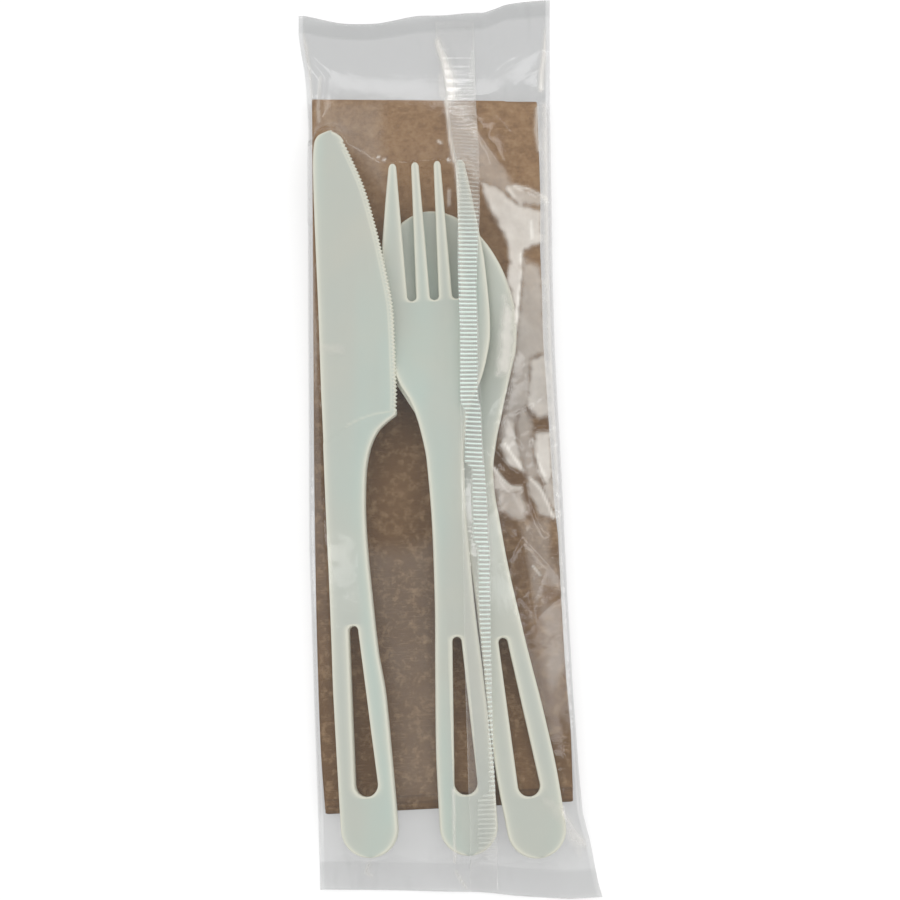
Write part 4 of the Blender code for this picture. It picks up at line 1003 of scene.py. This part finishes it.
def highest(x, y, names):
    """The highest point of the pieces at each point of a grid, and zero where there is none."""
    heights = np.zeros(x.shape)
    rows, columns = x.shape
    for name in names:
        mesh = bpy.data.objects[name].data
        points = np.empty(len(mesh.vertices) * 3, np.float32)
        mesh.vertices.foreach_get("co", points)
        points = points.reshape(-1, 3)
        centres = np.empty(len(mesh.polygons) * 3, np.float32)
        mesh.polygons.foreach_get("center", centres)
        points = np.concatenate((points, centres.reshape(-1, 3)))
        row = np.interp(points[:, 1], y[:, columns // 2], np.arange(rows))
        near = np.round(row).astype(int)
        column = (points[:, 0] - x[near, 0]) / (x[near, -1] - x[near, 0]) * (columns - 1)
        column = np.clip(np.round(column), 0, columns - 1).astype(int)
        shift = y[near, column] - y[near, columns // 2]
        row = np.interp(points[:, 1] - shift, y[:, columns // 2], np.arange(rows))
        np.maximum.at(heights, (np.round(row).astype(int), column), points[:, 2])
    wide = np.pad(heights, 1)
    return np.max([wide[a:a + rows, b:b + columns] for a in range(3) for b in range(3)], axis=0)


def draped(x, y, clearance):
    """The height of the film's front: taut between what holds it up.

    Each point takes the weighted mean of its four neighbours, or lies on what is below it if that is higher.
    The side folds stand as high as the napkin, and run down flat past its ends.
    """
    low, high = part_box("napkin")
    names = ("moulded_spoon", "moulded_fork", "moulded_knife")
    support = highest(x, y, names)
    over_paper = (x > low[0]) & (x < high[0]) & (y > low[1]) & (y < high[1])
    support = np.maximum(support, over_paper * high[2])
    support = np.where(support > 0, support + clearance, SEAL_GAP)
    beyond = np.maximum(np.maximum(low[1] - y, y - high[1]), 0)
    sides = np.interp(beyond, (0, SHOULDER), (high[2] + 0.5 * MM, SEAL_GAP))
    height = support.copy()
    for column in (0, -1):
        height[:, column] = np.maximum(sides[:, column], support[:, column])
    along = y - y[:1]
    first = int((along[:, 0] < BOTTOM_SEAL).sum())
    last = int(((y[-1:] - y)[:, 0] >= TOP_SEAL).sum())
    height[:first] = SEAL_GAP
    height[last:] = SEAL_GAP
    body = slice(first, last)
    work = height[first - 1:last + 1]
    floor = support[body, 1:-1]
    wide, long = DRAPE_WEIGHTS
    for _ in range(DRAPE_PASSES):
        mean = wide * (work[1:-1, :-2] + work[1:-1, 2:]) + long * (work[:-2, 1:-1] + work[2:, 1:-1])
        np.maximum(floor, mean, out=work[1:-1, 1:-1])
    below = 1 - ramp(along, BOTTOM_SEAL, BOTTOM_SEAL + SEAL_FADE)
    above = 1 - ramp(y[-1:] - y, TOP_SEAL, TOP_SEAL + SEAL_FADE)
    return height, support, np.clip(below + above, 0, 1)


def crinkles(x, y):
    """Folds of loose film between zero and one: one minus the size of a bent sine, sharpened to a ridge."""
    bend = 1.6 * ripples(x, y, (41 * MM, 29 * MM, 23 * MM), 21)
    total = np.zeros(x.shape)
    draw = np.random.default_rng(5)
    for length, heading, sharp, weight in ((11 * MM, 0.15, 5, 0.5), (7 * MM, -0.25, 6, 0.35), (9 * MM, 0.7, 7, 0.35),
                                           (6 * MM, -0.8, 7, 0.25), (4 * MM, 0.1, 4, 0.2)):
        phase = draw.uniform(0, math.pi)
        turn = math.pi * (x * math.cos(heading) + y * math.sin(heading)) / length + phase + bend
        patchy = ramp(ripples(x, y, (48 * MM, 35 * MM, 26 * MM), int(length / MM * 7)), -0.25, 0.45)
        total = np.maximum(total, weight * patchy * (1 - np.abs(np.sin(turn))) ** sharp)
    return total


def end_wave(x, y):
    """How far the cut ends wave up, by the distance from each cut."""
    wave = 0.5 + 0.5 * ripples(x, 0 * y, (31 * MM, 19 * MM, 13 * MM), 3, 0.0, 0.01)
    near = np.exp(-np.minimum(y - y[:1], y[-1:] - y) / (2.2 * MM))
    return 1.3 * MM * wave * near


def closed_sleeve(x, y, front, back):
    """The rings of the sleeve: the front, the right fold, the back from right to left and the left fold."""
    turn = np.linspace(0, math.pi, FOLD_POINTS + 2)[1:-1]
    folds = []
    for side, column in ((1, -1), (-1, 0)):
        middle = (front[:, column] + back[:, column]) / 2
        half = (front[:, column] - back[:, column]) / 2
        px = x[:, column, None] + side * FOLD_REACH * np.sin(turn)
        pz = middle[:, None] + side * half[:, None] * np.cos(turn)
        folds.append(np.stack((px, np.broadcast_to(y[:, column, None], px.shape), pz), -1))
    upper = np.stack((x, y, front), -1)
    under = np.stack((x, y, back), -1)[:, ::-2]
    return np.concatenate((upper, folds[0], under, folds[1]), axis=1)


def sleeve_faces(rows, ring):
    """The cells between the rings, and the strips that shut the two ends: two front cells to one at the back."""
    index = np.arange(rows * ring).reshape(rows, ring)
    after = np.roll(index, -1, axis=1)
    faces = np.stack((index[:-1], after[:-1], after[1:], index[1:]), -1).reshape(-1, 4).tolist()
    for row in (0, rows - 1):
        front = index[row, :SLEEVE_COLUMNS + 1]
        right = index[row, SLEEVE_COLUMNS + 1:SLEEVE_COLUMNS + 1 + FOLD_POINTS]
        start = SLEEVE_COLUMNS + 1 + FOLD_POINTS
        back = index[row, start:start + SLEEVE_COLUMNS // 2 + 1][::-1]
        left = index[row, start + SLEEVE_COLUMNS // 2 + 1:]
        faces += np.stack((front[:-2:2], front[1:-1:2], front[2::2], back[1:], back[:-1]), -1).tolist()
        faces.append([int(front[-1]), *right.tolist(), int(back[-1])])
        faces.append([int(back[0]), *left.tolist(), int(front[0])])
    return faces


def make_sleeve(settings):
    """The sleeve: the draped front with its crinkles and creases, and a back that lies flat."""
    x, y = sleeve_grid()
    front, support, seal = draped(x, y, settings.clearance)
    picture = to_picture(np.stack((x, y, front), -1))
    room = np.clip((front - support) / (1.5 * MM), 0, 1)
    right_side = ramp(picture[..., 0], 470, 520)
    down = picture[..., 1]
    calm = (0.3 + 0.7 * ramp(down, 90, 130)) * (0.15 + 0.85 * ramp(down, 640, 540))
    loose = (1 - seal) * (0.25 + 0.75 * room) * (0.25 + 0.75 * right_side) * calm
    front = front + settings.wrinkle * loose * crinkles(x, y)
    for height, width, line in CREASES:
        distance = edge_distances(picture, line, False)
        front = front + height * MM * np.exp(-(distance / width) ** 2) * (1 - seal)
    wave = end_wave(x, y)
    front, back = front + wave, wave
    rings = closed_sleeve(x, y, front, back)
    # Haze patches, partly milky film and partly painted glare, and painted glint lines, by place in the picture
    haze_and_glare = patches(picture, HAZE_AND_GLARE_PATCHES) * (1 - patches(picture, CLEAR_PATCHES))
    glint = lines(picture, GLINTS)
    none = np.zeros((len(x), FOLD_POINTS))
    clear_back = np.zeros((len(x), SLEEVE_COLUMNS // 2 + 1))
    # The back sheet, which carries painted shadow, covers more again above the napkin
    above = 0.45 * ramp(picture[..., 1], 130, 95)
    values = {
        "haze_and_glare": np.concatenate((haze_and_glare, none, clear_back, none), axis=1),
        "glint": np.concatenate((glint, none, clear_back, none), axis=1),
        "seal": np.concatenate((seal, seal[:, -1:] + none, seal[:, ::-2], seal[:, :1] + none), axis=1),
        "sheet": np.concatenate((0 * x, none + 0.4, 1 + above[:, ::-2], none + 0.4), axis=1),
    }
    faces = sleeve_faces(len(x), rings.shape[1])
    return new_piece("film_sleeve", rings.reshape(-1, 3), faces, values)


def front_height(points):
    """The height of the finished sleeve's front under each point in plan."""
    mesh = bpy.data.objects["film_sleeve"].data
    verts = np.empty(len(mesh.vertices) * 3, np.float32)
    mesh.vertices.foreach_get("co", verts)
    verts = verts.reshape(-1, 3)
    cell = 0.6 * MM
    low = verts[:, :2].min(axis=0)
    index = ((verts[:, :2] - low) / cell).astype(int)
    grid = np.zeros(index.max(axis=0) + 3)
    np.maximum.at(grid, (index[:, 0], index[:, 1]), verts[:, 2])
    spot = np.clip((points - low) / cell - 0.5, 0, None)
    base = np.minimum(spot.astype(int), np.array(grid.shape) - 2)
    share = spot - base
    total = 0
    for a in (0, 1):
        for b in (0, 1):
            weight = np.abs(1 - a - share[..., 0]) * np.abs(1 - b - share[..., 1])
            total = total + weight * grid[base[..., 0] + a, base[..., 1] + b]
    return total


def make_fin(settings):
    """The fin seal: a thin ribbon folded flat on the front, crossed by knurled ribs.

    Its height is the front's, evened out along the ribbon, plus a lift that grows to its free left edge,
    plus a rib: a sine along the pack, strong in the middle band of the ribbon.
    """
    left, right = (from_picture(line, 5.0 * MM)[::-1] for line in (FIN_LEFT, FIN_RIGHT))
    low = max(left[0, 1], right[0, 1])
    high = min(left[-1, 1], right[-1, 1])
    rows = int((high - low) / settings.rib_pitch * 7)
    y = np.linspace(low, high, rows + 1)
    across = np.linspace(0, 1, 21)
    start = np.interp(y, left[:, 1], left[:, 0])
    end = np.interp(y, right[:, 1], right[:, 0])
    x = start[:, None] + (end - start)[:, None] * across
    grid = np.stack((x, np.broadcast_to(y[:, None], x.shape)), -1)
    under = front_height(grid)
    reach = int(2.2 * MM / (y[1] - y[0]))
    window = np.ones(2 * reach + 1) / (2 * reach + 1)
    padded = np.pad(under, ((reach, reach), (0, 0)), mode="edge")
    smooth = np.stack([np.convolve(column, window, "valid") for column in padded.T], axis=1)
    base = np.maximum(smooth, under)
    seen = to_picture(np.stack((x, grid[..., 1], base), -1))
    down, first, last, strength = (np.array(column, float) for column in zip(*FIN_RIBS))
    first, last, strength = (np.interp(seen[..., 1], down, column) for column in (first, last, strength))
    band = strength * ramp(seen[..., 0], first - 1, first + 1) * ramp(seen[..., 0], last + 1, last - 1)
    rib = np.sin(2 * math.pi * y / settings.rib_pitch)[:, None] * band
    lift = settings.clearance + 0.12 * MM + 0.35 * MM * (1 - across) ** 2
    top = base + lift + settings.rib_height * rib
    bottom = top - 0.1 * MM
    upper, under = (np.stack((x, grid[..., 1], height), -1) for height in (top, bottom))
    rings = np.concatenate((upper, under[:, ::-1]), axis=1)
    index = np.arange(rings.shape[0] * rings.shape[1]).reshape(rings.shape[:2])
    after = np.roll(index, -1, axis=1)
    faces = np.stack((index[:-1], after[:-1], after[1:], index[1:]), -1).reshape(-1, 4).tolist()
    half = len(across)
    for row in (0, -1):
        a, b = index[row, :half], index[row, half:][::-1]
        faces += np.stack((a[:-1], a[1:], b[1:], b[:-1]), -1).tolist()
    both = np.concatenate((rib, rib[:, ::-1]), axis=1)
    # The rib band is milky, partly painted sheen, and both edges of the ribbon carry a painted highlight
    haze_and_glare = 0.03 + 0.25 * band + 0.12 * (ramp(across, 0.06, 0.0) + ramp(across, 0.94, 1.0))
    values = {"rib": both, "haze_and_glare": np.concatenate((haze_and_glare, haze_and_glare[:, ::-1]), axis=1)}
    values.update({name: 0 * both for name in ("seal", "sheet", "glint")})
    return new_piece("film_fin_seal", rings.reshape(-1, 3), faces, values)


def strip_light(name, place, size, power, target):
    """A long soft lamp that looks at a point."""
    data = bpy.data.lights.new(name, "AREA")
    data.shape = "RECTANGLE"
    data.size, data.size_y = size
    data.energy = power
    lamp = bpy.data.objects.new(name, data)
    lamp.location = place
    lamp.rotation_euler = (Vector(target) - Vector(place)).to_track_quat("-Z", "Y").to_euler()
    bpy.context.scene.collection.objects.link(lamp)
    return lamp


def make_stage(settings):
    """A pale floor that keeps the pack's shadow, an even white surround, long lamps and the camera."""
    size = 2.5
    mesh = bpy.data.meshes.new("floor")
    level = -0.00006
    mesh.from_pydata([(-size, -size, level), (size, -size, level), (size, size, level), (-size, size, level)], [],
                     [(0, 1, 2, 3)])
    floor = bpy.data.objects.new("floor", mesh)
    bpy.context.scene.collection.objects.link(floor)
    graph = Graph(bpy.data.materials.new("pale_floor"))
    seen = graph.rays("Is Camera Ray", "Is Glossy Ray", "Is Transmission Ray")
    matt = graph.add("ShaderNodeBsdfDiffuse", {}, {"Color": four(settings.floor_colour)})
    glow = graph.add("ShaderNodeEmission", {}, {"Color": WHITE, "Strength": seen * settings.floor_lift})
    mesh.materials.append(graph.finish(graph.add("ShaderNodeAddShader", {}, (matt, glow))))

    graph = Graph(bpy.data.worlds.new("surround"))
    seen = graph.rays("Is Camera Ray", "Is Glossy Ray")
    strength = seen * (settings.surround_seen - settings.surround) + settings.surround
    ground = graph.add("ShaderNodeBackground", {}, {"Color": WHITE, "Strength": strength})
    bpy.context.scene.world = graph.finish(ground, "ShaderNodeOutputWorld")

    middle = (0.0, 0.0, 0.0)
    strip_light("left_lamp", (-0.75, 0.10, 0.55), (0.10, 0.9), settings.lamp_power, middle)
    strip_light("right_lamp", (0.70, 0.05, 0.60), (0.08, 0.9), settings.lamp_power * 0.8, middle)
    strip_light("back_lamp", (0.15, 0.85, 0.70), (0.9, 0.08), settings.lamp_power * 0.8, middle)

    ahead, right, up = (Vector(axis) for axis in camera_axes())
    data = bpy.data.cameras.new("camera")
    data.sensor_width = SENSOR
    data.lens = FOCAL_PIXELS * SENSOR / PICTURE_SIZE
    camera = bpy.data.objects.new("camera", data)
    camera.location = Vector(LOOK_AT) - ahead * CAMERA_DISTANCE
    camera.rotation_euler = Matrix((right, up, -ahead)).transposed().to_euler()
    bpy.context.scene.collection.objects.link(camera)
    bpy.context.scene.camera = camera
    bpy.context.scene.view_settings.view_transform = "Standard"


class PlasticSettings(bpy.types.PropertyGroup):
    """Sizes and colours of the moulded utensils."""

    colour: FloatVectorProperty(name="Colour", description="Pale side of the plastic", subtype="COLOR",
                                default=(0.515, 0.60, 0.54), min=0, max=1)
    shade: FloatVectorProperty(name="Second tone", description="Grey that the plastic clouds into", subtype="COLOR",
                               default=(0.535, 0.565, 0.505), min=0, max=1)
    warm: FloatVectorProperty(name="Warm tone", description="Cream patches", subtype="COLOR",
                              default=(0.61, 0.59, 0.50), min=0, max=1)
    # Colour of the painted highlight along the utensils' rounded edges
    edge_highlight_colour: FloatVectorProperty(name="Edge", description="Colour of the thin rounded edges", subtype="COLOR",
                                     default=(0.80, 0.79, 0.67), min=0, max=1)
    edge_radius: FloatProperty(name="Edge radius", description="Rounding of the moulded edges", subtype="DISTANCE",
                               unit="LENGTH", default=0.42 * MM)
    tooth_pitch: FloatProperty(name="Tooth pitch", description="From one tooth of the knife to the next",
                               subtype="DISTANCE", unit="LENGTH", default=0.89 * MM)
    tooth_depth: FloatProperty(name="Tooth depth", description="How deep the gaps between the teeth are",
                               subtype="DISTANCE", unit="LENGTH", default=0.45 * MM)


class PaperSettings(bpy.types.PropertyGroup):
    """Sizes and colours of the napkin."""

    colour: FloatVectorProperty(name="Colour", description="Brown of the tissue", subtype="COLOR",
                                default=(0.325, 0.195, 0.098), min=0, max=1)
    shade: FloatVectorProperty(name="Dark tone", description="The darker tone, in clouds and at the handles' end",
                               subtype="COLOR", default=(0.145, 0.077, 0.029), min=0, max=1)
    fibre: FloatVectorProperty(name="Fibre", description="Pale pulp fibres", subtype="COLOR",
                               default=(0.46, 0.31, 0.175), min=0, max=1)
    speck: FloatVectorProperty(name="Speck", description="Dark specks in the pulp", subtype="COLOR",
                               default=(0.16, 0.085, 0.04), min=0, max=1)
    hollow: FloatProperty(name="Hollows", description="How deep the top panel sinks in places", subtype="DISTANCE",
                          unit="LENGTH", default=0.35 * MM)


class FilmSettings(bpy.types.PropertyGroup):
    """Sizes and colours of the film."""

    # This grey, heavy on the back sheet, is partly painted shadow under the pack
    colour: FloatVectorProperty(name="Clear tone", description="Grey of the clear film", subtype="COLOR",
                                default=(0.24, 0.25, 0.25), min=0, max=1)
    # This white also paints the glare patches and glints on the film
    haze_and_glare_colour: FloatVectorProperty(name="Haze tone", description="White of the milky film", subtype="COLOR",
                                     default=(0.93, 0.89, 0.82), min=0, max=1)
    # White of the painted highlight on the ribs' crests
    rib_highlight_colour: FloatVectorProperty(name="Rib tone", description="White of the ribs' crests", subtype="COLOR",
                                    default=(0.82, 0.95, 0.89), min=0, max=1)
    # Strength of the milky patches, which are partly painted glare
    haze_and_glare: FloatProperty(name="Haze", description="How strong the milky patches are", subtype="FACTOR", default=0.6,
                        min=0, max=2)
    clearance: FloatProperty(name="Clearance", description="Room between the film and what it covers",
                             subtype="DISTANCE", unit="LENGTH", default=0.18 * MM)
    wrinkle: FloatProperty(name="Wrinkles", description="Height of the folds in the loose film", subtype="DISTANCE",
                           unit="LENGTH", default=0.7 * MM)
    rib_pitch: FloatProperty(name="Rib pitch", description="From one rib of a seal to the next", subtype="DISTANCE",
                             unit="LENGTH", default=1.0 * MM)
    knurl_pitch: FloatProperty(name="Knurl pitch", description="From one tooth of a rib to the next",
                               subtype="DISTANCE", unit="LENGTH", default=0.5 * MM)
    rib_height: FloatProperty(name="Rib height", description="Height of the knurled ribs", subtype="DISTANCE",
                              unit="LENGTH", default=0.07 * MM)


class StageSettings(bpy.types.PropertyGroup):
    """Floor and light."""

    floor_colour: FloatVectorProperty(name="Floor", description="Colour of the floor", subtype="COLOR",
                                      default=(0.60, 0.60, 0.60), min=0, max=1)
    floor_lift: FloatProperty(name="Floor lift", description="White that the floor adds where it is looked at",
                              default=0.46, min=0)
    surround: FloatProperty(name="Surround", description="Strength of the light from all round", default=0.86, min=0)
    surround_seen: FloatProperty(name="Surround seen", description="Strength at which the surround shows",
                                 default=1.0, min=0)
    lamp_power: FloatProperty(name="Lamps", description="Power of the left lamp", subtype="POWER", unit="POWER",
                              default=1.1, min=0)


class PackSettings(bpy.types.PropertyGroup):
    """All the settings of the pack."""

    plastic: PointerProperty(type=PlasticSettings)
    paper: PointerProperty(type=PaperSettings)
    film: PointerProperty(type=FilmSettings)
    stage: PointerProperty(type=StageSettings)


class CUTLERYPACK_OT_napkin(bpy.types.Operator):
    """Fold the kraft napkin"""

    bl_idname = "cutlery_pack.napkin"
    bl_label = "Napkin"

    def execute(self, context):
        settings = context.scene.cutlery_pack.paper
        stand_for(make_napkin(settings), "napkin", kraft_material(settings))
        return {"FINISHED"}


class CUTLERYPACK_OT_utensils(bpy.types.Operator):
    """Mould the spoon, the fork and the knife"""

    bl_idname = "cutlery_pack.utensils"
    bl_label = "Utensils"

    def execute(self, context):
        settings = context.scene.cutlery_pack.plastic
        material = plastic_material(settings)
        for make, node in ((make_spoon, "spoon"), (make_fork, "fork"), (make_knife, "knife")):
            stand_for(make(settings), node, material)
        return {"FINISHED"}


class CUTLERYPACK_OT_film(bpy.types.Operator):
    """Drape the film sleeve over the contents, and fold its fin seal flat on it"""

    bl_idname = "cutlery_pack.film"
    bl_label = "Film"

    def execute(self, context):
        settings = context.scene.cutlery_pack.film
        if "moulded_fork" not in bpy.data.objects:
            raise RuntimeError("the utensils come before the film")
        stand_for(make_sleeve(settings), "film_wrapper",
                  film_material(settings, "clear_film", SLEEVE_SHARES, False))
        stand_for(make_fin(settings), "film_wrapper",
                  film_material(settings, "sealed_film", FIN_SHARES, True))
        return {"FINISHED"}


class CUTLERYPACK_OT_stage(bpy.types.Operator):
    """Set up the floor, the lamps and the camera"""

    bl_idname = "cutlery_pack.stage"
    bl_label = "Stage"

    def execute(self, context):
        make_stage(context.scene.cutlery_pack.stage)
        return {"FINISHED"}


class CUTLERYPACK_PT_panel(bpy.types.Panel):
    """The pack's pieces and their settings"""

    bl_idname = "CUTLERYPACK_PT_panel"
    bl_label = "Cutlery Pack"
    bl_space_type = "VIEW_3D"
    bl_region_type = "UI"
    bl_category = "Cutlery Pack"

    def draw(self, context):
        settings = context.scene.cutlery_pack
        for operator, group in (("napkin", settings.paper), ("utensils", settings.plastic), ("film", settings.film),
                                ("stage", settings.stage)):
            box = self.layout.box()
            box.operator("cutlery_pack." + operator)
            for key in group.__annotations__:
                box.prop(group, key)


CLASSES = (PlasticSettings, PaperSettings, FilmSettings, StageSettings, PackSettings, CUTLERYPACK_OT_napkin,
           CUTLERYPACK_OT_utensils, CUTLERYPACK_OT_film, CUTLERYPACK_OT_stage, CUTLERYPACK_PT_panel)


def register():
    """Add the classes and the settings."""
    for item in CLASSES:
        bpy.utils.register_class(item)
    bpy.types.Scene.cutlery_pack = PointerProperty(type=PackSettings)


def unregister():
    """Take the settings and the classes away."""
    del bpy.types.Scene.cutlery_pack
    for item in reversed(CLASSES):
        bpy.utils.unregister_class(item)


def main():
    """Make every piece in order."""
    register()
    bpy.ops.cutlery_pack.napkin()
    bpy.ops.cutlery_pack.utensils()
    bpy.ops.cutlery_pack.film()
    bpy.ops.cutlery_pack.stage()


if __name__ == "__main__":
    main()
